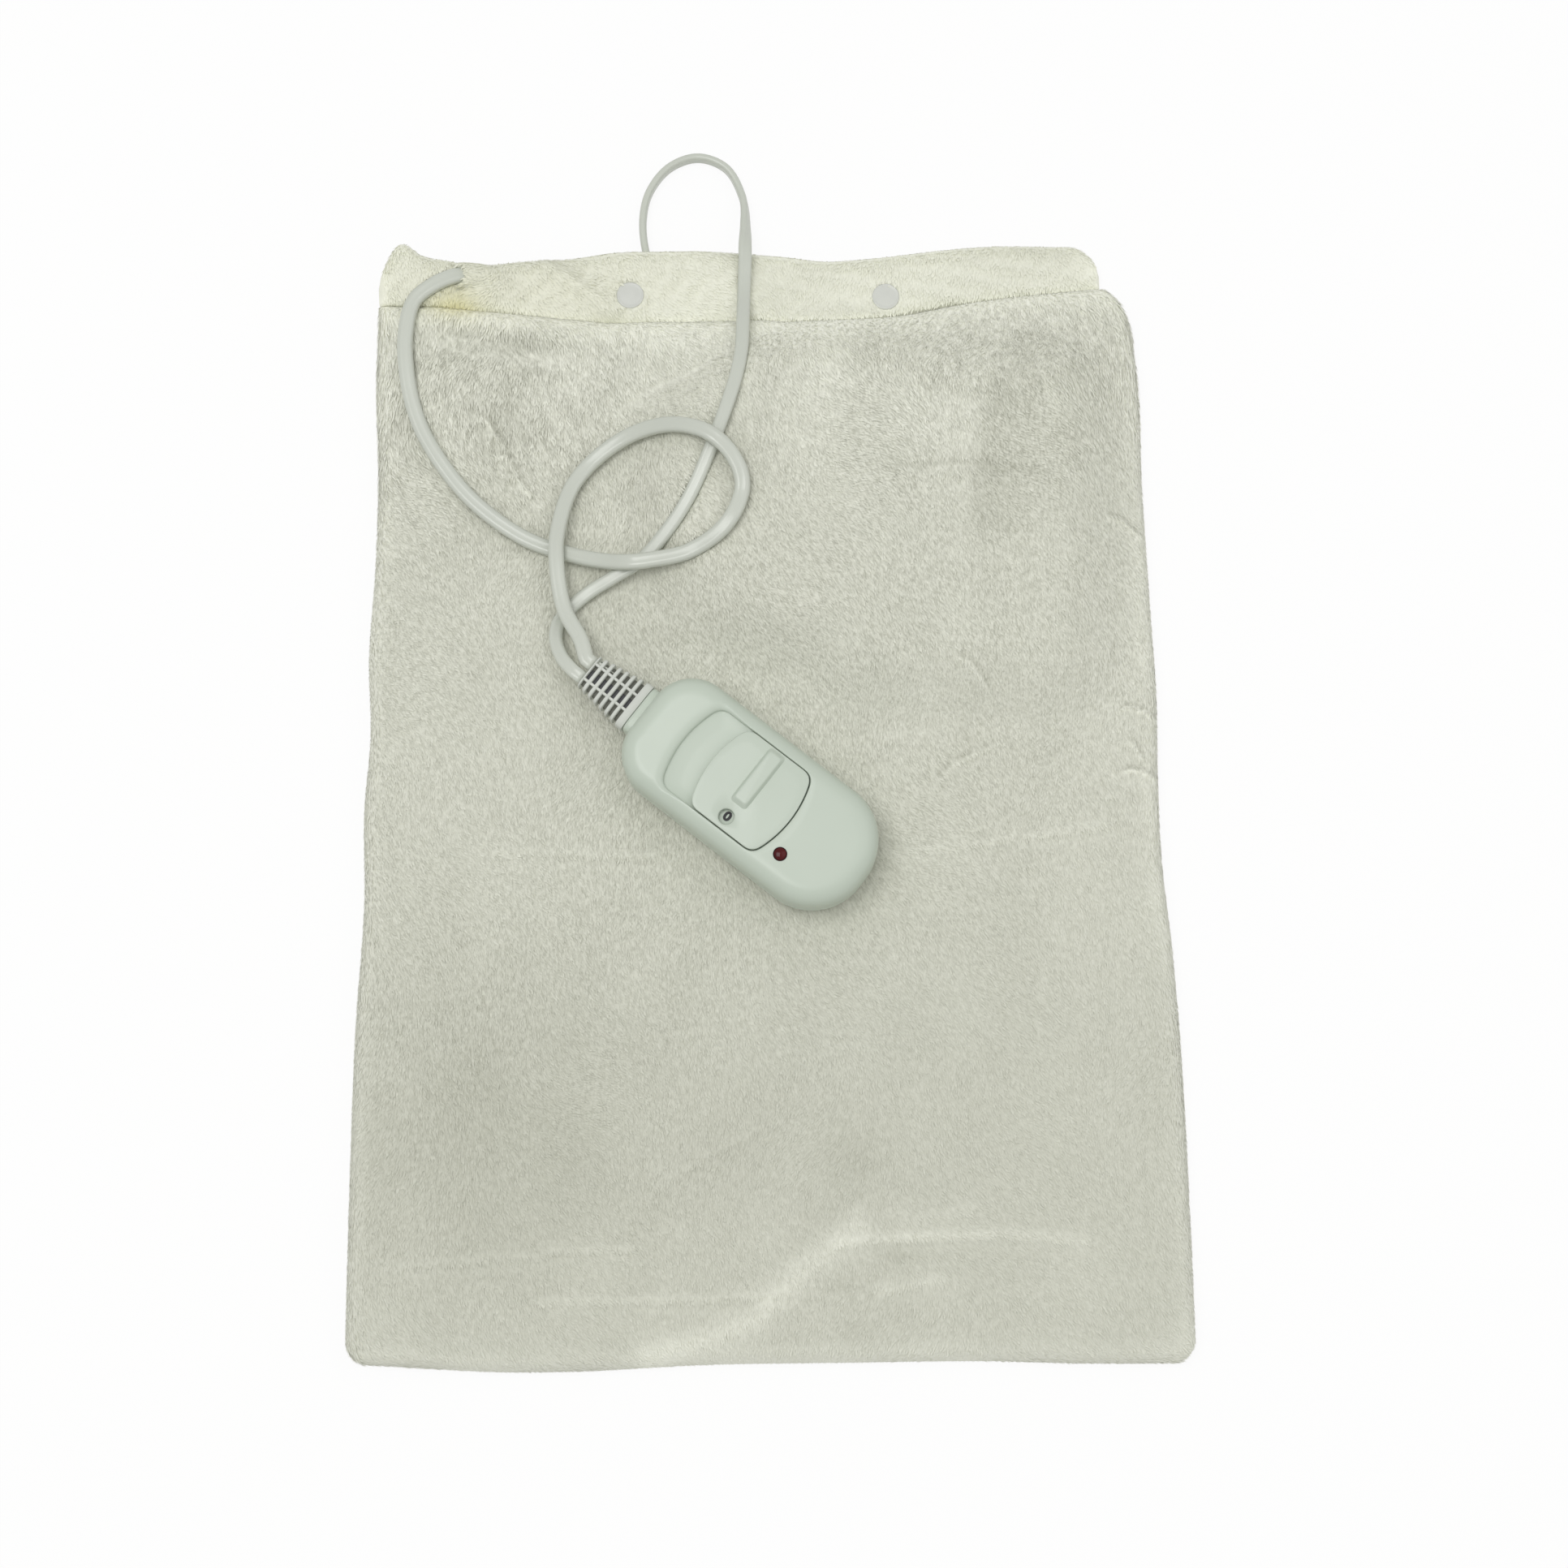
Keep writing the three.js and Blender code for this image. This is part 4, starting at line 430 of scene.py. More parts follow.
def quads(index, wrap_rows=False, wrap_columns=False):
    """Four-sided faces of an index grid, closed on itself where asked."""
    if wrap_rows:
        index = np.vstack([index, index[:1]])
    if wrap_columns:
        index = np.hstack([index, index[:, :1]])
    return np.stack([index[:-1, :-1], index[:-1, 1:], index[1:, 1:], index[1:, :-1]], -1).reshape(-1, 4)


def loft(rings, wrap=False):
    """Closed surface through rings of equal count: quads between them and, unless it wraps, a fan at each
    end."""
    rings = np.asarray(rings, float)
    count, around = rings.shape[:2]
    index = np.arange(count * around).reshape(count, around)
    points = rings.reshape(-1, 3)
    faces = quads(index, wrap_rows=wrap, wrap_columns=True).tolist()
    if not wrap:
        points = np.vstack([points, rings[0].mean(0), rings[-1].mean(0)])
        for rim, pole in ((index[0], count * around), (index[-1], count * around + 1)):
            faces += np.column_stack([rim, np.roll(rim, -1), np.full(around, pole)]).tolist()
    return points, faces


def together(*shapes):
    """Several closed shapes as one list of points and one of faces."""
    points, faces, start = [], [], 0
    for shape_points, shape_faces in shapes:
        points.append(shape_points)
        faces += [[i + start for i in face] for face in shape_faces]
        start += len(shape_points)
    return np.vstack(points), faces


def turns(count):
    """Equal angles round a circle."""
    return np.linspace(0, 2 * np.pi, count, endpoint=False)


def rounded(turn, power):
    """Sides of a rounded box of half sizes one: cosine and sine of a superellipse of this power."""
    return [np.sign(v) * abs(v) ** (2 / power) for v in (np.cos(turn), np.sin(turn))]


def bell(t):
    """Bell curve, 1 in the middle."""
    return np.exp(-(t**2))


def lathe(profile, x, y, around=48):
    """Profile of (radius, height) turned about an upright line; it starts and ends on that line."""
    profile = np.asarray(profile, float)
    turn = turns(around)
    flat = np.stack([np.cos(turn), np.sin(turn)], -1)
    plan = profile[:, None, :1] * flat[None] + (x, y)
    height = np.broadcast_to(profile[:, None, 1:], plan.shape[:2] + (1,))
    return loft(np.concatenate([plan, height], -1))


def closed_panel(outer, inner_height):
    """Cloth panel: a fine outer grid, an inner face on every fourth point of it, and a rim of strips
    between them. Each strip joins five border points of the fine grid to two of the coarse one."""
    rows, columns = outer.shape[:2]
    inner = outer[::4, ::4].copy()
    inner[..., 2] = inner_height[::4, ::4]
    fine = np.arange(rows * columns).reshape(rows, columns)
    coarse = rows * columns + np.arange(inner.shape[0] * inner.shape[1]).reshape(inner.shape[:2])
    rim, base = border(fine), border(coarse)
    corner = 4 * np.arange(len(base))
    strip = [rim[(corner + k) % len(rim)] for k in range(5)] + [np.roll(base, -1), base]
    faces = quads(fine).tolist() + quads(coarse)[:, ::-1].tolist() + np.column_stack(strip).tolist()
    return np.vstack([outer.reshape(-1, 3), inner.reshape(-1, 3)]), faces


def border(index):
    """Outer points of an index grid in order round it."""
    return np.concatenate([index[0, :-1], index[:-1, -1], index[-1, :0:-1], index[:0:-1, 0]])


def smoothed_copy(node):
    """Merged copy of a CAD node, with smooth faces where they meet at less than the sharp angle."""
    merge_distance, sharp_angle = 0.004 * MM, math.radians(38)
    source = frame["nodes"][node]
    shape = bmesh.new()
    shape.from_mesh(source.data)
    bmesh.ops.remove_doubles(shape, verts=shape.verts, dist=merge_distance)
    mesh = bpy.data.meshes.new("dressed_" + node)
    shape.to_mesh(mesh)
    shape.free()
    mesh.shade_smooth()
    mesh.set_sharp_from_angle(angle=sharp_angle)
    slot = SLOT_OF[node]
    mesh.materials.append(finish(slot))
    made = placed("dressed_" + node, mesh)
    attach(made, body_of(source)[0])
    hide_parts(node)
    return made


# Cloth heights, the same as the solids have


def ease(t):
    """Smooth step from 0 to 1."""
    t = np.clip(t, 0, 1)
    return t * t * (3 - 2 * t)


def to_segment(x, y, a, b):
    """Distance in plan to a straight line from a to b."""
    ax, ay, dx, dy = a[0], a[1], b[0] - a[0], b[1] - a[1]
    t = np.clip(((x - ax) * dx + (y - ay) * dy) / (dx * dx + dy * dy), 0, 1)
    return np.hypot(x - ax - t * dx, y - ay - t * dy)


def flowing(knots, t):
    """Smooth line through listed (place, value) knots: cubic pieces with averaged slopes, level past
    the ends."""
    place, value = np.asarray(knots, float).T
    slope = np.gradient(value, place)
    t = np.clip(t, place[0], place[-1])
    i = np.clip(np.searchsorted(place, t) - 1, 0, len(place) - 2)
    width = place[i + 1] - place[i]
    s = (t - place[i]) / width
    rise, back = s * s * (3 - 2 * s), s * (1 - s)
    bend = back * ((1 - s) * slope[i] - s * slope[i + 1]) * width
    return value[i] + (value[i + 1] - value[i]) * rise + bend


# Sizes in mm: ends of the cover and of the inner pad along Y, thicknesses from back to front, and gaps
COVER_BOTTOM, SEAM, SEAM_GAP = -220.5, 194.5, 0.15
PAD_BOTTOM, PAD_TOP, PAD_MARGIN = -211.5, 185.5, 9.0
BACK_PLUSH, STACK, FRONT_PLUSH, FIT = 3.2, 9.2, 4.0, 0.3
BOTTOM_STRETCH = 1.08
CLOTH_EDGE = 0.6
# Half widths of the cover at its bottom and its seam; the coil, the plug and the hollow that holds them
HALF_BOTTOM, HALF_SEAM = 162.5, 152
COIL_X, COIL_Y, PLUG_X, PLUG_LEVEL = 25, 121, 85.35, 7.15
STORE_HEIGHT, STORE_REACH = 15.2, 34
# Edges of the cloth in plan: the sides as (y, x), the ends and the seam as (x, y), the bottom as (x, shift)
LEFT_EDGE = [
    (-221, -161.5), (-190, -161), (-137, -160), (-90, -158.6), (-40, -155.6), (-5, -156), (25, -153.8),
    (55, -154.8), (95, -152.4), (130, -151.6), (175, -152.8), (205, -151), (221, -150),
]
RIGHT_EDGE = [
    (-221, 161.2), (-160, 161), (-110, 160.4), (-65, 158.4), (-30, 155.6), (5, 155.4), (35, 156.2),
    (75, 155), (120, 153.8), (175, 153), (192, 150.4), (199, 147), (206, 140.6), (221, 134),
]
BOTTOM_EDGE = [
    (-160, 3), (-138, 1.4), (-110, -0.3), (-80, -0.6), (-28, 1), (28, 1), (90, 0.6), (125, -0.7),
    (160, -1.2),
]
TOP_EDGE = [
    (-151, 219), (-143, 225.4), (-133, 219.4), (-121, 217.4), (-82, 220), (-62, 221.4), (-23, 222),
    (17, 221.4), (36, 219), (56, 220), (76, 222), (105, 224.2), (135, 223.6),
]
SEAM_EDGE = [
    (-155, 200.3), (-108, 196.8), (-69, 192.4), (0, 191), (55, 193.4), (88, 199), (142, 204), (155, 205),
]
# Soft swells and dents of the front: line in plan, half width and height in mm, change of tone
# The change of tone is painted highlight where it is positive and painted shade where it is negative
WRINKLES = [
    ([(-116, 182), (-100, 112)], 15, -1.4, 0), ([(-121, 184), (-80, 176)], 5, -2.4, 0),
    ([(-115, 170), (-92, 166)], 6, 0.8, 0), ([(60, 185), (74, 150)], 8, -0.8, 0),
    ([(-150, -182), (-60, -180)], 7, -0.6, 0), ([(60, -201), (150, -199)], 6, 0.6, 0),
    ([(25, -175), (53, -173.4), (88, -172.6), (119, -175.8)], 2.4, 0.9, 0.18),
    ([(46, -173.4), (84, -172.6)], 2.0, 0.2, 0.14),
    ([(-46, -217), (-6, -204), (13, -185), (34, -169)], 5.5, 1.2, 0.3),
    ([(53, -168), (77, -164)], 4, 0.5, 0.12), ([(-82, -176), (-52, -176)], 1.5, 0.4, 0.1),
    ([(-86, -195.4), (-20, -195), (6, -193)], 1.8, 0.4, 0.12),
    ([(42, -193), (64, -189.4)], 2.6, 0.7, 0.2), ([(-138, -181), (-84, -178)], 1.8, 0.3, 0.05),
    ([(52, 125), (85, 124.4), (114, 121)], 2.2, -0.5, -0.16),
    ([(-103, -24), (-60, -26), (-36, -27)], 1.8, 0.5, 0.08),
    ([(46, -28), (80, -24), (134, -17)], 2.0, 0.6, 0.12),
]
# Creases: start, end, height, width of the steep side on the left, reach on the right, change of tone
# The change of tone paints light where positive and shade where negative: over a broad crease's right side,
# and as a highlight beside a shadow along a thin one
CREASES = [
    ((80, 84), (83, 164), 0.7, 6, 28, -0.3), ((82, 140), (106, 200), 1.1, 6, 26, -0.26),
    ((-94, 116), (-114, 160), -2.0, 4, 11, -0.26), ((-112, 152), (-101, 143), 1.1, 1.1, 2.4, 0.4),
    ((-107, 145), (-97, 137), 1.1, 1.1, 2.4, 0.4), ((-104, 136), (-93, 129), 1.1, 1.1, 2.4, 0.4),
    ((-101, 128), (-88, 120), 1.0, 1.1, 2.4, 0.34), ((136, 105), (154, 100.6), 1.0, 1.0, 1.8, 0.5),
    ((139, 28.4), (159, 26.4), 1.0, 1.0, 1.8, 0.5), ((139, 3.8), (160, 1.8), 1.2, 1.0, 1.8, 0.6),
    ((141, 15.4), (150, 10.2), 0.8, 0.9, 1.6, 0.4), ((74, 48.5), (92, 35.5), 0.5, 0.9, 1.8, 0.3),
    ((68, 1), (93, 19), 0.4, 0.9, 1.8, 0.24), ((-53, -163.5), (9, -122), 0.3, 1.2, 4, -0.06),
    ((-93, -118), (-60, -107), 0.6, 4, 6, 0.06),
]


def underside(x, y, blend=0.0):
    """Height of the cover's back: a store over the coil and the plug, a ridge over the cord and a lifted
    corner. The two parts of the store meet in a valley, which a smooth minimum of their distances fills
    over the blend length."""
    coil = np.hypot(x - COIL_X, y - COIL_Y) - 50.5
    plug = np.hypot(np.maximum(abs(x - PLUG_X) - 29.65, 0), np.maximum(abs(y - 102.975) - 49.275, 0))
    nearest = np.minimum(coil, plug)
    if blend:
        nearest = nearest - blend / 4 * np.maximum(1 - abs(coil - plug) / blend, 0) ** 2
    store = STORE_HEIGHT * (1 - ease(nearest / STORE_REACH))
    line = np.minimum(to_segment(x, y, (-43, 232), (-38, 212)), to_segment(x, y, (-38, 212), (-10, 182)))
    ridge = 6.4 * (1 - ease((line - 14) / 26))
    peak = 14 * (1 - ease(np.hypot(x + 152, y - 220.5) / 50))
    return np.maximum(store, ridge) + peak


def tunnel(x, y):
    """Extra height over the pad cord inside the mouth."""
    return 6 * (1 - ease((to_segment(x, y, (-112, 208), (-86, 196)) - 12) / 22))


def half_width(y):
    """The solids' half width, which shrinks evenly from the bottom to the seam."""
    return HALF_BOTTOM + (HALF_SEAM - HALF_BOTTOM) * np.clip((y - COVER_BOTTOM) / (SEAM - COVER_BOTTOM), 0, 1)


def rise(distance, reach=26.0):
    """Quarter of a superellipse: 0 at the edge, 1 from the reach inwards."""
    return (1 - (1 - np.clip(distance / reach, 0, 1)) ** 2.2) ** (1 / 2.2)


def roll_off(distance, reach):
    """Quarter round: 0 at the edge, 1 from the reach inwards."""
    return np.sqrt(1 - (1 - np.clip(distance / reach, 0, 1)) ** 2)


def stack_height(x, y, level):
    """Height of a level of the inner pad: 0 on the back plush, STACK under the front plush."""
    crown = rise(half_width(y) - abs(x)) * rise(y - COVER_BOTTOM) * rise(SEAM - SEAM_GAP - y)
    return underside(x, y) + BACK_PLUSH + level / STACK * (FIT + crown * (STACK - FIT))


def ripple(x, y, length, seed):
    """Smooth random waves: the sum of twelve plane waves of about one length, between about -1 and 1."""
    chance = np.random.default_rng(seed)
    turn = chance.uniform(0, np.pi, 12)
    pace = 2 * np.pi / (length * chance.uniform(0.75, 1.5, 12))
    shift = chance.uniform(0, 2 * np.pi, 12)
    return sum(np.sin(p * (x * np.cos(t) + y * np.sin(t)) + s) for t, p, s in zip(turn, pace, shift)) / 3.5


def comb(x, y):
    """Direction of the pile in plan: down and a little to the right, turning in slow swirls, and to the
    left over the end of the cord at the slit."""
    slit = math.radians(-108) * bell((x + 111) / 8) * bell((y - 208) / 7)
    return math.radians(-72) + 0.4 * ripple(x, y, 150, 3) + 0.3 * ripple(x, y, 55, 4) + slit


def combed(shape, angle, seed):
    """White noise averaged along the comb: each point with its neighbour on both sides, as a spread of
    one."""
    white = np.random.default_rng(seed).random(shape)
    rows, columns = np.indices(shape)
    total = np.zeros(shape)
    for step in (-1, 0, 1):
        row = np.clip(np.rint(rows + step * np.sin(angle)), 0, shape[0] - 1).astype(int)
        column = np.clip(np.rint(columns + step * np.cos(angle)), 0, shape[1] - 1).astype(int)
        total += white[row, column]
    return (total - total.mean()) / total.std()


def lines(low, high, step):
    """Places across a panel, close together at both edges, one more than a multiple of four."""
    edge = np.array([0, 0.15, 0.4, 0.8, 1.3, 2.0, 2.9, 4.0])
    count = 4 * round(((high - low - 8) / step - 2) / 4) + 2
    return np.concatenate([low + edge, np.linspace(low + 4, high - 4, count + 1)[1:-1], high - edge[::-1]])


def cover_plan(step, top):
    """Plan of a panel from the bottom edge to the seam: its sides, its bottom corners and its edges
    follow the cloth."""
    half, corner, bent = 150, 9.0, 60
    across, along = np.meshgrid(lines(-half, half, step), lines(COVER_BOTTOM, top, step))
    from_bottom = along - COVER_BOTTOM
    round_off = corner - np.sqrt(corner**2 - np.clip(corner - from_bottom, 0, corner) ** 2)
    share = (across + half) / (2 * half)
    y = along + flowing(BOTTOM_EDGE, across * BOTTOM_STRETCH) * (1 - ease(from_bottom / bent))
    y = y + (flowing(SEAM_EDGE, across) - SEAM) * ease((along - top + bent) / bent)
    left = flowing(LEFT_EDGE, y) + round_off
    right = flowing(RIGHT_EDGE, y) - round_off
    x = left + (right - left) * share
    edge = np.minimum(np.minimum(x - left, right - x), from_bottom)
    return x, y, along, edge, top - along


# Controller on the pad: its turn and place, the ends of its boot and the height of the boot's bores
CASE_TURN = math.radians(141.2)
CASE_PLACE = np.array([-4.6, -4.9, 16.7])
BOOT_START, BOOT_END, BORE_LEVEL = 57.4, 78.8, 11.65


def from_case(points):
    """Points of the controller's frame in the part's frame."""
    c, s = math.cos(CASE_TURN), math.sin(CASE_TURN)
    return np.asarray(points, float) @ np.array([[c, s, 0], [-s, c, 0], [0, 0, 1]]) + CASE_PLACE


def to_case(x, y):
    """Plan coordinates in the controller's frame."""
    c, s = math.cos(CASE_TURN), math.sin(CASE_TURN)
    x, y = x - CASE_PLACE[0], y - CASE_PLACE[1]
    return x * c + y * s, y * c - x * s


def beyond_boot(bore, distance):
    """Point past the boot's end on the line of one of its bores."""
    return list(from_case(np.array([[BOOT_END + distance, bore, BORE_LEVEL]]))[0])


# Cord routes: points in mm, with a fourth number where the flat cord stands on edge
MAINS_ROUTE = [
    beyond_boot(3.4, 0.3), beyond_boot(3.4, 5.4), [-76.8, 51, 25.4], [-79.6, 59.6, 21.6],
    [-78.2, 67.4, 19.4], [-68.6, 77.1, 19.2], [-57.5, 83.6, 21.6], [-45.9, 90.2, 23.9],
    [-35, 101.5, 27.8], [-26.3, 114.4, 30.6], [-16.5, 136.2, 33.6], [-8.3, 159.3, 33.4],
    [-5.4, 174, 28.8], [-4.8, 185.9, 24.6], [-4.2, 202.9, 14.8], [-3.6, 216.7, 13.8],
    [-3.5, 223.5, 13.2, 0.2], [-3.3, 232, 8.2, 0.6], [-4.3, 247, 3.4, 1], [-10.8, 260, 3, 1],
    [-22.3, 264.8, 3, 1], [-34, 260.8, 3, 1], [-42.3, 250.4, 3, 1], [-45.1, 238.3, 3, 1],
    [-43.8, 223.6, 3, 1], [-39.4, 211, 3, 1], [-29.5, 199.5, 3, 1], [-17.5, 187.8, 3, 1],
    [-8, 175.5, 3.4, 1], [1.5, 165.8, 4, 1], [13.9, 159.5, 4.3, 1], [19.3, 159.5, 4.3, 1],
]
PAD_ROUTE = [
    [-78.5, 186.1, 7.1], [-78.5, 191.5, 6.4], [-81, 198, 6.2], [-86, 203, 6.9], [-92, 206.4, 8.8],
    [-99.5, 209, 10.8], [-107, 210.6, 13.8], [-114, 211, 16.8], [-120.2, 209.8, 18.8],
    [-128.1, 206.2, 19.6], [-136.2, 199.4, 19.4], [-139.4, 186, 19.2], [-139.2, 172.9, 19],
    [-136.6, 157.5, 18.6], [-131.1, 142.7, 18.4], [-114.7, 118.9, 18.9], [-93.9, 102, 19.2],
    [-78, 95.2, 19.2], [-61.9, 90.4, 23], [-49.6, 88.2, 28.8], [-42.6, 88.7, 29.4], [-26.7, 91.9, 30.2],
    [-12.2, 101.4, 34.6], [-5.7, 116, 35], [-8.7, 127.1, 36.8], [-18, 136.8, 38.2], [-32.4, 142.3, 33],
    [-48.7, 141.3, 24.4], [-63.4, 132.8, 20.4], [-73, 121.2, 20.6], [-78.3, 104.1, 23.2],
    [-79.2, 92.5, 24.2], [-76.1, 70.9, 25], [-69.4, 57.6, 27.4], beyond_boot(-3.3, 4.2),
    beyond_boot(-3.3, 0.3),
]


def root_distance(a, b):
    """Square root of the distance between each point of a and its partner in b, never quite nought."""
    return np.maximum(np.linalg.norm(b - a, axis=1)[:, None], 1e-6) ** 0.5


def laid(route):
    """Points and rolls along a route: a centripetal cubic through the inner points, straight at both ends."""
    route = np.array([list(p) + [0.0] * (4 - len(p)) for p in route])
    inner = route[1:-1]
    ends = np.vstack([2 * inner[0] - inner[1], inner, 2 * inner[-1] - inner[-2]])
    p0, p1, p2, p3 = (ends[i : len(ends) - 3 + i, :3] for i in range(4))
    d0, d1, d2 = root_distance(p0, p1), root_distance(p1, p2), root_distance(p2, p3)
    m1 = ((p1 - p0) / d0 - (p2 - p0) / (d0 + d1) + (p2 - p1) / d1) * d1
    m2 = ((p2 - p1) / d1 - (p3 - p1) / (d1 + d2) + (p3 - p2) / d2) * d1
    t = np.linspace(0, 1, 24, endpoint=False)[None, :, None]
    a, b, c, d = (v[:, None, :] for v in (p1, m1, -3 * p1 + 3 * p2 - 2 * m1 - m2, 2 * p1 - 2 * p2 + m1 + m2))
    points = (a + b * t + c * t**2 + d * t**3).reshape(-1, 3)
    before, after = inner[:-1, 3:, None], inner[1:, 3:, None]
    roll = (before + (after - before) * t[:, None, :, 0]).reshape(-1)
    points = np.vstack([route[:1, :3], points, inner[-1:, :3], route[-1:, :3]])
    return points, np.concatenate([route[:1, 3], roll, inner[-1:, 3], route[-1:, 3]])


def coil_path():
    """Put-away coil: it spirals in by 3.5 turns, climbs a layer in a quarter turn and spirals out again
    above."""
    each_way, pitch, layer = 3.5, 5, 5.9
    t = np.linspace(0, 2 * each_way, 7 * 72 + 1)
    radius = 21 + pitch * abs(t - each_way)
    turn = np.pi / 2 - 2 * np.pi * t
    height = 4.3 + layer * ease((t - each_way) / 0.25 + 0.5)
    return np.stack([COIL_X + radius * np.cos(turn), COIL_Y + radius * np.sin(turn), height], -1)


def tail_path():
    """From the coil in a quarter ellipse to the plug, which it enters straight: points and rolls."""
    turn = np.linspace(0, np.pi / 2, 40)
    share = turn / (np.pi / 2)
    x, y = 36.1 + 49.25 * np.sin(turn), 126.4 + 33.1 * np.cos(turn)
    curve = np.stack([x, y, 10.2 - 3.05 * ease(share)], -1)
    return np.vstack([curve, [[PLUG_X, 121, PLUG_LEVEL]]]), np.append(1 - ease(share), 0)


CORD_STEP = 1.8


def even(points, rolls, step):
    """The same line with points at equal steps."""
    walked = np.concatenate([[0], np.cumsum(np.linalg.norm(np.diff(points, axis=0), axis=1))])
    places = np.linspace(0, walked[-1], round(walked[-1] / step) + 1)
    line = np.stack([np.interp(places, walked, points[:, k]) for k in range(3)], -1)
    return line, np.interp(places, walked, rolls), walked[-1]


def mains_line():
    """Mains cord from the boot through the coil to the plug: points, rolls and length."""
    run, run_roll = laid(MAINS_ROUTE)
    coil = coil_path()
    tail, tail_roll = tail_path()
    points = np.vstack([run, coil, tail])
    return even(points, np.concatenate([run_roll, np.ones(len(coil)), tail_roll]), CORD_STEP)


def pad_line():
    """Pad cord from inside the pad to the boot: points, rolls and length."""
    return even(*laid(PAD_ROUTE), CORD_STEP)


def cord_shape(line, rolls, width, thickness):
    """Flat cord of two cores: a rounded-box section with a shallow groove on both faces, carried along
    the line, level across it and rolled onto its edge where asked."""
    along = np.gradient(line, axis=0)
    along /= np.linalg.norm(along, axis=1)[:, None]
    level = np.stack([-along[:, 1], along[:, 0], np.zeros(len(line))], -1)
    level /= np.linalg.norm(level, axis=1)[:, None]
    up = np.cross(along, level)
    c, s = np.cos(rolls * np.pi / 2)[:, None], np.sin(rolls * np.pi / 2)[:, None]
    wide, thin = level * c + up * s, up * c - level * s
    turn = turns(32)
    a, b = rounded(turn, 2.7)
    a, b = width / 2 * a, thickness / 2 * b
    b = b * (1 - 0.13 * bell(np.cos(turn) / 0.2))
    return loft(line[:, None] + wide[:, None] * a[None, :, None] + thin[:, None] * b[None, :, None])


def pressed(x, y, z):
    """Cloth pushed down under what lies on it: below each cord it stays under the cord's belly and climbs
    beside it, and under the controller it stays below the case."""
    for (line, _, _), half, belly in ((pad_line(), 3.1, 2.3), (mains_line(), 2.7, 1.8)):
        lying = line[::2][line[::2, 1] < 226]
        sewn_in = (lying[:, 0] > -118.5) & (lying[:, 0] < -70) & (lying[:, 1] > 200)
        lying = lying[(lying[:, 2] > 12) & ~sewn_in]
        for part in np.array_split(lying, max(len(lying) // 40, 1)):
            low, high = part[:, :2].min(0) - 14, part[:, :2].max(0) + 14
            near = (x > low[0]) & (x < high[0]) & (y > low[1]) & (y < high[1])
            away = np.hypot(x[near][:, None] - part[:, 0], y[near][:, None] - part[:, 1])
            room = part[:, 2] - belly + np.maximum(away - half * 0.7, 0) * 1.1
            z[near] = np.minimum(z[near], room.min(1))
    cx, cy = to_case(x, y)
    away = np.hypot(np.maximum(abs(cx + 1.5) - 47, 0), np.maximum(abs(cy) - 18, 0))
    return np.minimum(z, 16.55 + np.maximum(away - 4, 0) * 1.2)


class PAD_OT_cords(bpy.types.Operator):
    """Pad cord and mains cord along the solids' routes, with the plug, its pins and the tie of the coil"""

    bl_idname = "heating_pad.cords"
    bl_label = "Cords"

    def execute(self, context):
        look = scene_look("cord_look")
        line, rolls, length = pad_line()
        shape = cord_shape(line, rolls, look.pad_width / MM, look.pad_thickness / MM)
        flex = piece("pad_cord_flex", *shape, "cord_pvc", replaces=["pad_cord"])
        line, rolls, length = mains_line()
        run = ["mains_cord_run", "mains_cord_coil", "mains_cord_tail"]
        shape = cord_shape(line, rolls, look.mains_width / MM, look.mains_thickness / MM)
        mains = piece("mains_cord_flex", *shape, "cord_pvc", replaces=run)
        plug = self.plug()
        pins = [smoothed_copy(f"plug_pin_{side}") for side in ("left", "right")]
        tie = self.tie()
        return {"FINISHED"}

    def plug(self):
        """Moulded plug: rounded-box sections along the cord's line, a ribbed nose that widens into the
        body."""
        long, rib_pitch, round_over = 36, 2.4, 1.2
        along = np.concatenate([np.linspace(0, 12, 25), np.linspace(12.4, 21, 14), np.linspace(22, long, 8)])
        ribs = np.cos(along * np.pi * 2 / rib_pitch) * (along < 11.5)
        half = 6.5 + 0.35 * ribs + (17.65 - 6.5) * ease((along - 10.5) / 9.5)
        deep = 4.6 + (6.85 - 4.6) * ease((along - 6) / 12) + 0.3 * ribs
        ends = roll_off(np.minimum(along, long - along), 1.6) * round_over - round_over
        wide, high = rounded(turns(48), 4.2)
        x = PLUG_X + (half + ends)[:, None] * wide
        z = PLUG_LEVEL + (deep + ends)[:, None] * high
        y = np.broadcast_to(120.7 - along[:, None], x.shape)
        shape = loft(np.stack([x, y, z], -1))
        return piece("plug_moulded", *shape, "plug_pvc", replaces=["plug_body"], sharp=50)

    def tie(self):
        """Band round the coil's near side: a flat section carried round a rounded rectangle in Y and Z."""
        low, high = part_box("coil_tie")
        (x0, y0, z0), (x1, y1, z1) = np.array(low) / MM, np.array(high) / MM
        wide, tall = rounded(turns(64), 7)
        mid_y, mid_z, half_y, half_z = (y0 + y1) / 2, (z0 + z1) / 2, (y1 - y0) / 2, (z1 - z0) / 2
        section = [
            (x0 + 0.2, 0), (x1 - 0.2, 0), (x1, 0.2), (x1, 0.8), (x1 - 0.2, 1), (x0 + 0.2, 1), (x0, 0.8),
            (x0, 0.2),
        ]
        rings = []
        for x, inset in section:
            y, z = mid_y + (half_y - inset) * wide, mid_z + (half_z - inset) * tall
            rings.append(np.stack([np.full_like(y, x), y, z], -1))
        return piece("coil_tie_band", *loft(rings, wrap=True), "tie_black", replaces=["coil_tie"], sharp=40)


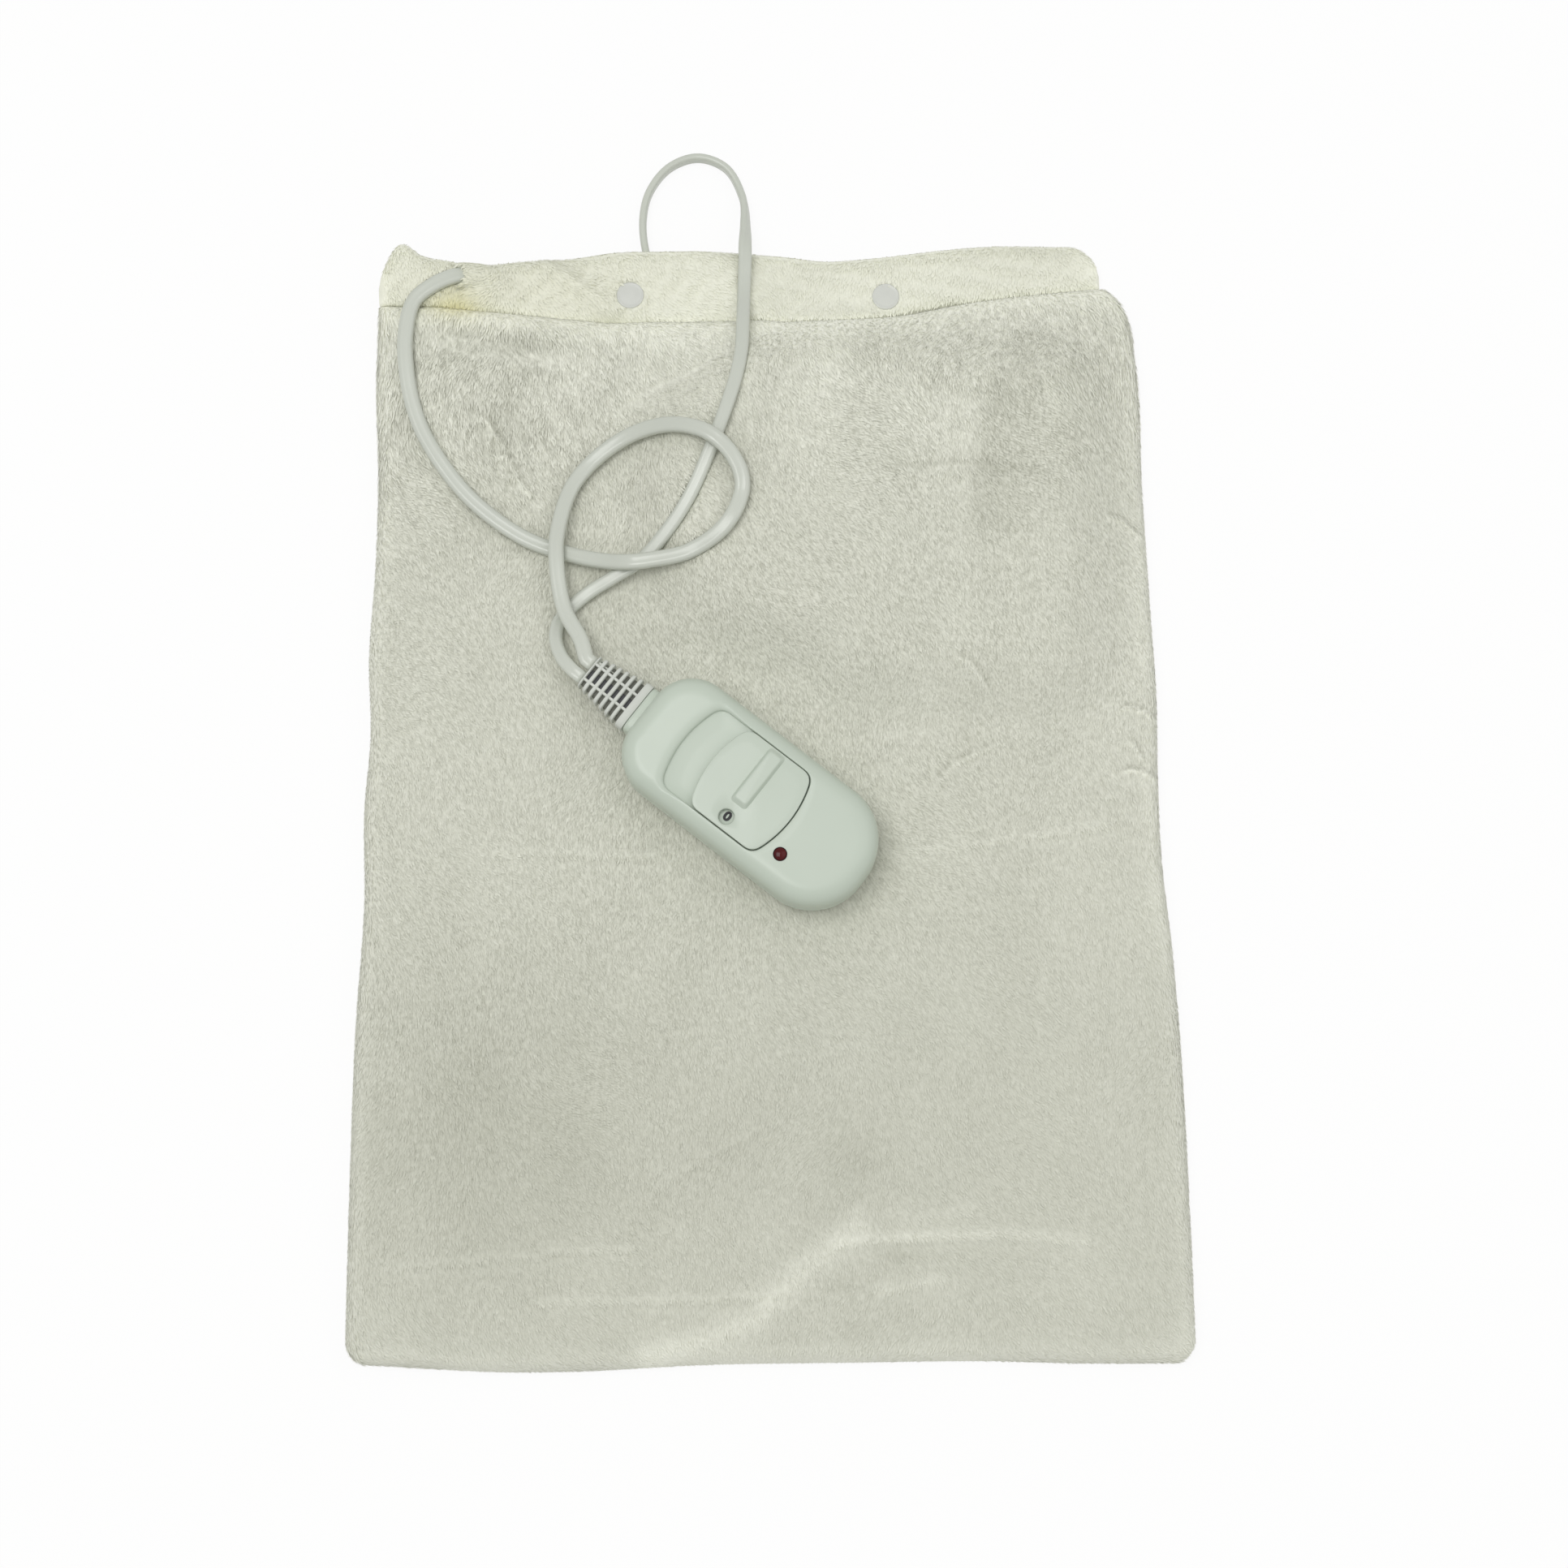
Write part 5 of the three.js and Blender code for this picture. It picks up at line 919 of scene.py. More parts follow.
# Soft spots of the pile, each with its centre, its half sizes and a change: tone, partly where the pile lies
# another way and partly painted light and shade; strokes where it is calm; painted shade on the hem; and the
# yellow of painted light that comes through the cloth
NAP_AND_PAINTED_LIGHT = [
    ((-102, 181), (24, 6), -0.26), ((82, 150), (16, 36), 0.08), ((-110, 154), (10, 16), -0.14),
    ((0, 190), (190, 60), 0.2), ((-110, -130), (60, 70), -0.22), ((-36, 104), (26, 6), 0.12),
    ((33, -145), (13, 12), -0.08), ((150, 60), (26, 150), 0.1), ((-32, 60), (16, 6), -0.12),
    ((-76, -112), (18, 8), 0.06), ((48, -180), (6, 3), -0.16), ((28, -191), (7, 3), -0.14),
    ((30, -208), (5, 6), -0.12), ((20, -140), (190, 90), -0.15),
]
CALM = [((-15, 163), (55, 38), -0.32), ((-115, 5), (45, 75), -0.25)]
# Painted shade on the hem's left part and round the cord at the slit
HEM_PAINTED_SHADE = [((-100, 207), (48, 14), -0.46), ((-118.6, 210), (3.0, 2.7), -0.55)]
# Painted light: yellow where light comes through the cloth, strongest beside the slit
LIT_THROUGH = [((-120, 199.5), (9.5, 6), 0.75), ((-100, 205), (60, 14), 0.12)]


def creased(x, y):
    """Height and painted tone of the creases: each one climbs steeply from its left to its line and fades
    slowly on its right, and it dies away at both ends. A broad one paints its right side lighter where its
    change is positive and darker where it is negative; a thin one has a painted highlight beside a painted
    shadow."""
    height, tone = np.zeros_like(x), np.zeros_like(x)
    for (ax, ay), (bx, by), rise_by, steep, reach, shade in CREASES:
        length = math.hypot(bx - ax, by - ay)
        ux, uy = (bx - ax) / length, (by - ay) / length
        along = ((x - ax) * ux + (y - ay) * uy) / length
        right = (x - ax) * uy - (y - ay) * ux + 1.6 * np.sin(along * 5)
        is_broad = reach > 3
        fade = 0.3 if is_broad else 0.16
        ends = ease(along / fade) * ease((1 - along) / fade)
        slope = np.where(right > 0, np.exp(-np.maximum(right, 0) / reach), bell(right / steep)) * ends
        height += rise_by * slope
        if is_broad:
            tone += shade * slope * ease(right / (1.6 * steep))
        else:
            tone += shade * (bell((right - 0.4) / 0.8) - 0.8 * bell((right + 1.3) / 1.1)) * ends
    return height, tone


def swells(x, y):
    """Height and painted tone of the soft folds: a bell across each line of straight pieces. The tone paints
    light where it is positive and shade where it is negative.
    """
    height, tone = np.zeros_like(x), np.zeros_like(x)
    for line, half, high, shade in WRINKLES:
        away = np.min([to_segment(x, y, a, b) for a, b in zip(line, line[1:])], axis=0)
        height += high * bell(away / half)
        tone += shade * bell(away / half)
    return height, tone


def patches(x, y, places):
    """Sum of soft spots, each a bell of two half sizes."""
    return sum(v * bell((x - c[0]) / s[0]) * bell((y - c[1]) / s[1]) for c, s, v in places)


def nap(x, y):
    """Tone of the pile: slow random patches; spots partly where the pile lies another way and partly painted
    light and shade; the painted highlights and shadows of the folds and creases; and painted light along
    the seam and the outer edges."""
    below = flowing(SEAM_EDGE, x) - y
    # Painted light: a lighter band below the seam and along the outer edges
    seam = 0.4 * bell(below / np.where(below > 0, 11, 2.2))
    side = np.minimum(x - flowing(LEFT_EDGE, y), flowing(RIGHT_EDGE, y) - x)
    rim = 0.3 * bell(np.minimum(side, y - COVER_BOTTOM - flowing(BOTTOM_EDGE, x * BOTTOM_STRETCH)) / 6)
    slow = (0.02 + 0.03 * broad_locks(x, y)) * ripple(x, y, 38, 13)
    return 0.56 + 0.77 * (patches(x, y, NAP_AND_PAINTED_LIGHT) + swells(x, y)[1] + creased(x, y)[1] + seam + rim + slow)


def furrows(x, y):
    """Strength of the fine strokes: faint on the brushed lower right and on the hem, full towards the
    top, less on the calm spots."""
    panel = 0.3 + 0.6 * ease((y + 170 - 0.3 * x) / 230) + patches(x, y, CALM)
    return panel * (1 - 0.7 * ease((y - flowing(SEAM_EDGE, x) + 1) / 3))


def broad_locks(x, y):
    """Strength of the broad strokes: they show towards the top of the panel only, and less on the calm
    spots."""
    top = ease((y - 85 - 0.15 * x) / 90) * ease((flowing(SEAM_EDGE, x) - y) / 6)
    return top * (1 + 1.6 * patches(x, y, CALM))


def pile_values(x, y):
    """What the front's points carry for the pile's finish."""
    return dict(zip(CARRIED, (nap(x, y), patches(x, y, LIT_THROUGH), furrows(x, y), broad_locks(x, y))))


def tufts(name, grid, slot, count, seed):
    """Pile as low locks, one at a random place of each cell of a lattice. A lock lies along the comb from
    a broad foot over a bent middle to a pointed tip and is highest along its own middle, so that it has a
    lit and a shaded side."""
    chance = np.random.default_rng(seed)
    rows, columns = grid.shape[:2]
    across = round(math.sqrt(count * columns / rows))
    down = count // across
    count = across * down
    place = np.indices((down, across)).reshape(2, -1) + chance.random((2, count))
    row, column = place[0] / down * (rows - 1.001), place[1] / across * (columns - 1.001)
    i, j = row.astype(int), column.astype(int)
    s, t = (row - i)[:, None], (column - j)[:, None]
    a, b, c, d = grid[i, j], grid[i, j + 1], grid[i + 1, j], grid[i + 1, j + 1]
    foot = (a * (1 - t) + b * t) * (1 - s) + (c * (1 - t) + d * t) * s
    normal = np.cross(b + d - a - c, c + d - a - b)
    normal /= np.linalg.norm(normal, axis=1)[:, None]
    angle = comb(foot[:, 0], foot[:, 1]) + chance.normal(0, 0.16, count)
    flat = np.stack([np.cos(angle), np.sin(angle), np.zeros(count)], -1)
    flat -= normal * (flat * normal).sum(1)[:, None]
    side = np.cross(normal, flat) * 0.34 * chance.uniform(0.7, 1.3, count)[:, None]
    length = scene_look("cover_look").pile_length / MM * chance.uniform(0.7, 1.2, count)[:, None]
    length = length * (0.85 + 0.6 * broad_locks(foot[:, :1], foot[:, 1:2]))
    lean = chance.uniform(0.06, 0.2, count)[:, None]
    ahead = length * (flat * np.cos(lean) + normal * np.sin(lean))
    bend = side * chance.normal(0, 0.8, count)[:, None]
    middle, tip, crown = foot + ahead / 2 + bend, foot + ahead, normal * 0.08
    foot = foot - normal * 0.1
    points = [foot - side, foot + crown, foot + side, middle - side, middle + crown, middle + side, tip]
    points = np.stack(points, 1).reshape(-1, 3)
    x, y = points[:, 0], points[:, 1]
    # Painted shade at each lock's foot and painted light at its tip
    depth = np.array([-0.2, -0.12, -0.2, -0.08, 0.02, -0.08, 0.1]) + 0.05 * chance.normal(0, 1, (count, 1))
    values = pile_values(x, y)
    values["tone"] = values["tone"] + depth.ravel() * (0.3 + 0.8 * values["furrow"])
    first = 7 * np.arange(count)[:, None]
    faces = np.vstack([first + (1, 0, 3, 4), first + (2, 1, 4, 5)]).tolist()
    faces += np.vstack([first + (4, 3, 6), first + (5, 4, 6)]).tolist()
    made = piece(name, points, faces, slot, closed=False, **values)
    corner = np.zeros(len(made.data.loops), np.int32)
    made.data.loops.foreach_get("vertex_index", corner)
    plan = (points[corner, :2] + (170, 240)) / (340, 480)
    made.data.uv_layers.new(name="OFBake").data.foreach_set("uv", plan.astype(np.float32).ravel())
    return made


class PAD_OT_cover(bpy.types.Operator):
    """Plush front and back panels with their pile, and the inner pad's layers"""

    bl_idname = "heating_pad.cover"
    bl_label = "Plush panels"

    def execute(self, context):
        look = scene_look("cover_look")
        x, y, along, edge, below_seam = cover_plan(1.25, SEAM)
        sewn = underside(x, along) + BACK_PLUSH + FIT
        inner = sewn + (stack_height(x, along, STACK) - sewn) * rise(edge, 5.0) + tunnel(x, y)
        thick = CLOTH_EDGE + (FRONT_PLUSH - CLOTH_EDGE) * roll_off(edge, 6)
        thick = thick * (0.66 + 0.34 * roll_off(below_seam, 3))
        edge = np.minimum(edge, below_seam)
        waves = 0.4 * ripple(x, y, 46, 11) + 0.2 * ripple(x, y, 19, 12)
        fold = (swells(x, y)[0] + creased(x, y)[0] + waves) * look.wrinkle
        strokes = combed(x.shape, comb(x, y), 21)
        fold = fold + underside(x, along, 26.0) - underside(x, along)
        outer = inner + thick + (fold + 0.05 * strokes) * ease(edge / 9)
        outer = np.maximum(pressed(x, y, outer), inner + 0.5)
        grid = np.stack([x, y, outer], -1)
        points, faces = closed_panel(grid, inner)
        values = {k: np.append(v.ravel(), v[::4, ::4].ravel()) for k, v in pile_values(x, y).items()}
        front = piece("plush_front", points, faces, "plush", replaces=["cover_front_panel"], **values)
        strips = 4
        cuts = np.linspace(0, len(grid) - 1, strips + 1).astype(int)
        for strip in range(strips):
            rows = grid[cuts[strip] : cuts[strip + 1] + 1]
            tufts(f"pile_strip_{strip + 1}", rows, "plush", look.pile_count, 31 + strip)
        self.back()
        self.layers()
        return {"FINISHED"}

    def back(self):
        """Back panel: the solid's inner face, and below it the pile's thickness, which rolls off at the
        edges."""
        x, y, along, edge, below_seam = cover_plan(2.5, SEAM - SEAM_GAP)
        edge = np.minimum(edge, below_seam + 2)
        inner = underside(x, along) + BACK_PLUSH
        thick = CLOTH_EDGE + (BACK_PLUSH - CLOTH_EDGE) * roll_off(edge, 6)
        strokes = combed(x.shape, comb(x, y), 22)
        outer = inner - thick + np.clip(0.1 + 0.08 * strokes, 0, 0.3) * ease(edge / 9)
        tone = 0.72 + 0.12 * strokes
        points, faces = closed_panel(np.stack([x, y, outer], -1), inner)
        tones = np.concatenate([tone.ravel(), tone[::4, ::4].ravel()])
        fields = {"tone": tones, "furrow": np.full_like(tones, 0.8)}
        made = piece("plush_back", points, faces, "plush", replaces=["cover_back_panel"], **fields)

    def layers(self):
        """Inner pad: liner and felt on both sides of the wire, closed sheets on the solids' levels."""
        across, along = np.meshgrid(np.linspace(-1, 1, 65), np.linspace(PAD_BOTTOM, PAD_TOP, 81))
        x = across * (half_width(along) - PAD_MARGIN)
        for name, slot, low, high in (
            ("pad_back_liner", "liner", 0.3, 1.1), ("pad_back_felt", "felt", 1.4, 3.4),
            ("pad_front_felt", "felt", 5.8, 7.8), ("pad_front_liner", "liner", 8.1, 8.9),
        ):
            top = np.stack([x, along, stack_height(x, along, high)], -1)
            points, faces = closed_panel(top, stack_height(x, along, low))
            layer = piece(name + "_sheet", points, faces, slot, replaces=[name], sharp=50)


# Hem: half its length and the rounding of its ends in mm, points across its face, locks of its pile
HEM_HALF, HEM_ROUND, HEM_FACE, HEM_TUFTS = 151.5, 14, 29, 14000


class PAD_OT_hem(bpy.types.Operator):
    """Bands round the mouth, front and back, with the snap fasteners"""

    bl_idname = "heating_pad.hem"
    bl_label = "Mouth hems and snaps"

    def execute(self, context):
        self.band("mouth_hem_front", "cover_front_hem", front=True)
        self.band("mouth_hem_back", "cover_back_hem", front=False)
        for node in [n for n in frame["nodes"] if n.startswith("snap_")]:
            if "cap_front" in node:
                self.cap(node)
            else:
                smoothed_copy(node)
        return {"FINISHED"}

    def band(self, name, node, front):
        """Closed loops in Y and Z, one for each place along X: up the seam side, along the outer face,
        round the free edge and back along the inner face. The outer face sinks round the snaps, the slit
        and the cords."""
        x = np.linspace(-HEM_HALF, HEM_HALF, 245)[:, None]
        left, right = flowing(LEFT_EDGE, 207.0), flowing(RIGHT_EDGE, 207.0)
        seam = flowing(SEAM_EDGE, x) + 0.1
        free = flowing(TOP_EDGE, x) - (0 if front else 2.5)
        end = np.minimum(x + HEM_HALF, HEM_HALF - x)
        free = seam + 3 + (free - seam - 3) * roll_off(end + 0.2, HEM_ROUND)
        face = np.linspace(0, 1, HEM_FACE)[None]
        over = np.concatenate([face[:, :1], face, face[:, ::-1]], 1)
        y = seam + (free - seam) * over
        x = np.broadcast_to(left + (right - left) * (x + HEM_HALF) / (2 * HEM_HALF), y.shape)
        base = underside(x, np.minimum(y, 222))
        edge = np.minimum(np.minimum(end, free - y), y - seam + 1.0)
        bulk = roll_off(edge, 5.0)
        outer_side = np.arange(y.shape[1]) <= HEM_FACE
        outer_side[0] = False
        if front:
            low = base + BACK_PLUSH + FIT + tunnel(x, y)
            high = low + 0.5 + 3.5 * bulk + (0.5 * ripple(x, y, 24, 41) + 0.2 * ripple(x, y, 7, 42)) * bulk
            mound = bell((x + 106) / 11) * bell((y - 204) / 8) * ease((x + 120) / 4)
            high = high + 3.2 * mound * bulk
            high = high + 2.4 * bell(to_segment(x, y, (-84, 217), (-58, 196)) / 3.4) * bulk
            high = np.maximum(high, self.over_cord(x, y))
            for snap in ("left", "right"):
                bottom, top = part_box(f"snap_cap_front_{snap}")
                px, py, pz = (bottom[0] + top[0]) / 2 / MM, (bottom[1] + top[1]) / 2 / MM, top[2] / MM
                away = np.hypot(x - px, y - py)
                room = pz - 0.9 + np.maximum(away - 5.3, 0) * 0.5
                high = np.where(away < 9, np.clip(high, pz - 9, room), high)
            high = np.maximum(pressed(x, y, high), low + 0.25)
            # Front hem's tone: the pile's tone with its painted light and shade, and more painted shade on
            # its left part and round the cord at the slit
            shade = nap(x, y) + patches(x, y, HEM_PAINTED_SHADE)
        else:
            high = base + BACK_PLUSH
            low = high - 0.4 - 2.8 * bulk
            shade = np.full(y.shape, 0.72)
        outer = high if front else low
        z = np.where(outer_side, outer, low if front else high)
        tone = shade + 0.06 * combed(y.shape, comb(x, y), 43)
        grid = np.stack([x, y, z], -1)
        points, faces = loft(grid)
        # The hem's points carry the painted light that comes through the cloth
        tone, warm = np.append(tone.ravel(), [0.7, 0.7]), np.append(patches(x, y, LIT_THROUGH).ravel(), [0, 0])
        furrow = np.full_like(tone, 0.25)
        made = piece(name, points, faces, "hem_plush", replaces=[node], tone=tone, warm=warm, furrow=furrow)
        if front:
            outside = grid[2:-2, 2 : HEM_FACE + 1].transpose(1, 0, 2)
            tufts("pile_hem", outside, "hem_plush", HEM_TUFTS, 36)

    def over_cord(self, x, y):
        """Height that the cloth needs to pass over the pad cord between the slit and the pad."""
        line = pad_line()[0]
        line = line[(line[:, 0] > -118) & (line[:, 0] < -84) & (line[:, 1] > 200)]
        away = np.hypot(x[..., None] - line[:, 0], y[..., None] - line[:, 1])
        reach, share, far_below = 5.2, 0.62, 99
        arch = np.sqrt(np.maximum(reach**2 - away**2, 0)) * share
        return (line[:, 2] + arch - np.where(away < reach, 0, far_below)).max(-1)

    def cap(self, node):
        """Snap's cap: a turned disc with a raised rim."""
        low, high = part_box(node)
        x, y = ((low + high) / 2 / MM).xy
        z0, z1 = low[2] / MM, high[2] / MM
        profile = [
            (0, z1 - 0.1), (3.4, z1 - 0.12), (4.3, z1 - 0.25), (4.6, z1 - 0.2), (4.9, z1), (5.2, z1 - 0.02),
            (5.42, z1 - 0.2), (5.5, z1 - 0.6), (5.5, z0 + 0.2), (5.3, z0), (0, z0),
        ]
        piece(node + "_disc", *lathe(profile, x, y, 64), "snap_plastic", replaces=[node], sharp=45)


# Controller


def quadratic(a, b, c, count=14):
    """Points of a quadratic curve from a to c with control b."""
    t = np.linspace(0, 1, count)[:, None]
    return (1 - t) ** 2 * np.array(a) + 2 * t * (1 - t) * np.array(b) + t**2 * np.array(c)


def barrel(x0, x1, half):
    """Outline of the slider and its channel: straight sides, round corners and bulging ends."""
    bulge, corner, shoulder = 3.8, 4.0, 1.33
    side0, side1, end = x0 + bulge, x1 - bulge, half - corner
    near, far = side1 + shoulder, side0 - shoulder
    side = np.linspace(side0 + corner, side1 - corner, 40)
    straight = np.stack([side, np.full(40, half)], -1)
    return np.vstack([
        straight * (1, -1), quadratic((side1 - corner, -half), (side1, -half), (near, -end)),
        quadratic((near, -end), (2 * x1 - near, 0), (near, end), 40),
        quadratic((near, end), (side1, half), (side1 - corner, half)), straight[::-1],
        quadratic((side0 + corner, half), (side0, half), (far, end)),
        quadratic((far, end), (2 * x0 - far, 0), (far, -end), 40),
        quadratic((far, -end), (side0, -half), (side0 + corner, -half)),
    ])


def round_box(x0, x1, half, near, far):
    """Outline of a box with one corner radius at its +X end and another at its -X end."""
    arcs = []
    for x, y, radius, start in ((x1 - near, near - half, near, -90), (x1 - near, half - near, near, 0),
                                (x0 + far, half - far, far, 90), (x0 + far, far - half, far, 180)):
        turn = np.radians(np.linspace(start, start + 90, 40))
        arcs.append(np.stack([x + radius * np.cos(turn), y + radius * np.sin(turn)], -1))
    outline = np.vstack(arcs)
    following = np.roll(outline, -1, axis=0)
    fill = np.linspace(0, 1, 24, endpoint=False)[None, :, None]
    return (outline[:, None] * (1 - fill) + following[:, None] * fill).reshape(-1, 2)


AROUND = 208


def spokes(outline, centre):
    """Radius of an outline at equal angles round a centre inside it."""
    away = outline - np.asarray(centre)
    turn = np.arctan2(away[:, 1], away[:, 0])
    order = np.argsort(turn)
    turn, radius = turn[order], np.hypot(*away[order].T)
    angles = np.linspace(-np.pi, np.pi, AROUND, endpoint=False)
    return np.interp(angles, turn, radius, period=2 * np.pi)


def ring(radius, z, centre):
    """Ring of points at equal angles, with one radius and height each or for all."""
    angles = np.linspace(-np.pi, np.pi, AROUND, endpoint=False)
    radius = np.broadcast_to(radius, AROUND)
    plan = np.stack([centre[0] + radius * np.cos(angles), centre[1] + radius * np.sin(angles)], -1)
    return np.column_stack([plan, np.broadcast_to(z, AROUND)])


# Sizes of the case in its own frame, in mm: outline, corners near the cords and far from them, channel,
# button and window
CASE_FAR, CASE_NEAR, CASE_HALF, CASE_EDGE, CASE_HEIGHT, WALL = -54.5, 51.5, 25.0, 7.0, 25.0, 2.2
NEAR_CORNER, FAR_CORNER = 17.0, 23.0
CHANNEL, CHANNEL_FLOOR, CHANNEL_WALL = (6.15, 0.0), 22.3, 23.2
BUTTON_LOW, BUTTON_TOP, WINDOW, WINDOW_RADIUS = 22.6, 25.6, (0.6, 13.6), 3.0
STOP_STEP = 4.4


def case_outline(inset):
    """Outline of the case in plan, drawn in by an inset."""
    corners = NEAR_CORNER - inset, FAR_CORNER - inset
    return round_box(CASE_FAR + inset, CASE_NEAR - inset, CASE_HALF - inset, *corners)


def inset_of(x, y):
    """How far a plan point lies inside the case's outline."""
    middle, half = (CASE_FAR + CASE_NEAR) / 2, (CASE_NEAR - CASE_FAR) / 2
    radius = np.where(x > middle, NEAR_CORNER, FAR_CORNER)
    qx, qy = abs(x - middle) - half + radius, abs(y) - CASE_HALF + radius
    return radius - np.hypot(np.maximum(qx, 0), np.maximum(qy, 0)) - np.minimum(np.maximum(qx, qy), 0)


def dome(inset, edge, top):
    """Height of the case's top at an inset: a quarter round of the edge radius, then flat."""
    return top - edge + np.sqrt(np.maximum(edge**2 - np.clip(edge - inset, 0, edge) ** 2, 0))


def case_piece(name, shape, slot, node=None, body="root", sharp=50, closed=True):
    """Piece drawn in the controller's frame, in place of one CAD node or of none."""
    points, faces = shape
    replaces = [node] if node else []
    return piece(name, from_case(points), faces, slot, body, replaces, closed, sharp)


class PAD_OT_controller(bpy.types.Operator):
    """Controller's shells, slider, digits, lens and cord boot, and the pieces inside"""

    bl_idname = "heating_pad.controller"
    bl_label = "Controller"

    def execute(self, context):
        self.top_shell()
        self.bottom_shell()
        self.slider()
        self.digits()
        self.lens()
        self.boot()
        return {"FINISHED"}

    def top_shell(self):
        """One closed stack of rings: channel floor, channel wall, bevel, domed top, side, parting edge,
        then the inner skin back to the underside of the channel."""
        channel = spokes(barrel(-19.6, 31.9, 18.8), CHANNEL)
        pocket = spokes(barrel(-21.8, 34.1, 21.0), CHANNEL)
        outside, inside = spokes(case_outline(0), CHANNEL), spokes(case_outline(WALL), CHANNEL)
        angles = np.linspace(-np.pi, np.pi, AROUND, endpoint=False)
        towards_cords = ease((channel * np.cos(angles) - 8) / 16)
        bevel = 0.45 + 2.85 * towards_cords
        rings = [ring(channel * share, CHANNEL_FLOOR, CHANNEL) for share in (0.35, 0.7, 0.97)]
        rings += [ring(channel, z, CHANNEL) for z in (CHANNEL_FLOOR + 0.15, CHANNEL_WALL)]
        brink = ring(channel + bevel, 0, CHANNEL)
        lip = dome(inset_of(brink[:, 0], brink[:, 1]), CASE_EDGE, CASE_HEIGHT)
        drop = (lip - CHANNEL_WALL) * (0.55 + 0.45 * towards_cords)
        for turn in np.radians(np.linspace(0, 90, 7)):
            rings.append(ring(channel + bevel * (1 - np.cos(turn)), lip - drop * (1 - np.sin(turn)), CHANNEL))
        for share in np.sin(np.radians(np.linspace(6, 90, 22))):
            plan = ring(channel + bevel + (outside - channel - bevel) * share, 0, CHANNEL)
            plan[:, 2] = dome(inset_of(plan[:, 0], plan[:, 1]), CASE_EDGE, CASE_HEIGHT)
            rings.append(plan)
        parting = ((0, 15), (0, 12.3), (0.15, 12.1), (0.25, 11.8))
        rings += [ring(outside - groove, z, CHANNEL) for groove, z in parting]
        rings += [ring(inside, z, CHANNEL) for z in (11.8, 15)]
        for share in np.sin(np.radians(np.linspace(90, 6, 12))):
            plan = ring(pocket + (inside - pocket) * share, 0, CHANNEL)
            plan[:, 2] = dome(inset_of(plan[:, 0], plan[:, 1]) - WALL, CASE_EDGE - WALL, CASE_HEIGHT - WALL)
            rings.append(plan)
        rings += [ring(pocket, 20.1, CHANNEL), ring(pocket * 0.5, 20.1, CHANNEL)]
        shape = together(loft(np.array(rings)), self.neck())
        case_piece("case_top", shape, "case_plastic", "controller_top_shell")

    def neck(self):
        """Short neck between the case and the boot: rounded-box sections along X."""
        along = np.array([47, 50, 53.4, 54.0, 54.35, 54.5, 54.5])
        ease_in = np.array([0, 0, 0, 0.12, 0.4, 0.9, 2.4])
        wide, high = rounded(turns(64), 5)
        y = (10.25 - ease_in)[:, None] * wide
        z = BORE_LEVEL + (6 - ease_in)[:, None] * high
        return loft(np.stack([np.broadcast_to(along[:, None], y.shape), y, z], -1))

    def boot(self):
        """Slotted boot: flange and cross bars as rounded-box sections along X, over a sunk core in a darker
        grey that paints the shade in the slots, and two long ribs on each face, with near-black strips that
        paint the shade of the hollow between the cords. Its width draws in evenly from the flange to the
        end."""
        section = rounded(turns(64), 5)
        bars, wide = 7, 1.4
        pitch = (BOOT_END - BOOT_START) / bars

        def half_at(x):
            """Half width of the boot at a place along it."""
            return np.interp(x, (BOOT_START, BOOT_END), (10.5, 7.3))

        def block(stations, middle=0.0):
            """Sections at (x, half width, half height, height of the middle)."""
            x, half, high, lift = (np.array(v, float)[:, None] for v in zip(*stations))
            y, z = middle + half * section[0], BORE_LEVEL + lift + high * section[1]
            return loft(np.stack([np.broadcast_to(x, y.shape), y, z], -1))

        def bar(start, end):
            """Cross bar with eased edges."""
            near = ((start, 0.3), (start + 0.1, 0.1), (start + 0.3, 0))
            far = ((end - 0.3, 0), (end - 0.1, 0.1), (end, 0.3))
            return block([(x, half_at(x) - inset, 4.5 - inset, 0) for x, inset in near + far])

        shapes = [bar(54.8, BOOT_START + wide / 2)]
        for middle in (BOOT_START + k * pitch for k in range(1, bars + 1)):
            shapes.append(bar(middle - wide / 2, min(middle + wide / 2, BOOT_END)))
        for side in (-1, 1):
            for face in (-1, 1):
                ribs = [(x, 0.55, 1.1, face * 3.15) for x in (56, 63, 70, 78.5)]
                shapes.append(block(ribs, side * 3.6))
        case_piece("boot_sleeve", together(*shapes), "boot_rubber", "cord_boot", sharp=40)
        # Core in the darker grey of painted shade
        core = block([(x, half_at(x) - 1.4, 2.2, 0) for x in (56, 63, 70, 78.6)])
        case_piece("boot_core", core, "boot_slot_shade", sharp=40)
        # Near-black strips of painted shade where the hollow between the cords lies
        strips = [block([(x, 2.1, 0.15, face * 2.3) for x in (57.6, 64, 71, 78)], 0.95) for face in (-1, 1)]
        case_piece("boot_hollow_shade", together(*strips), "dark_plastic", sharp=40)

    def bottom_shell(self):
        """Closed stack of rings: outer bottom, rounded edge, side, parting edge, then the inner skin."""
        centre, inner = (0.0, 0.0), CASE_EDGE - WALL

        def at(inset):
            """Radius of the case's outline, drawn in by an inset."""
            return spokes(case_outline(inset), centre)

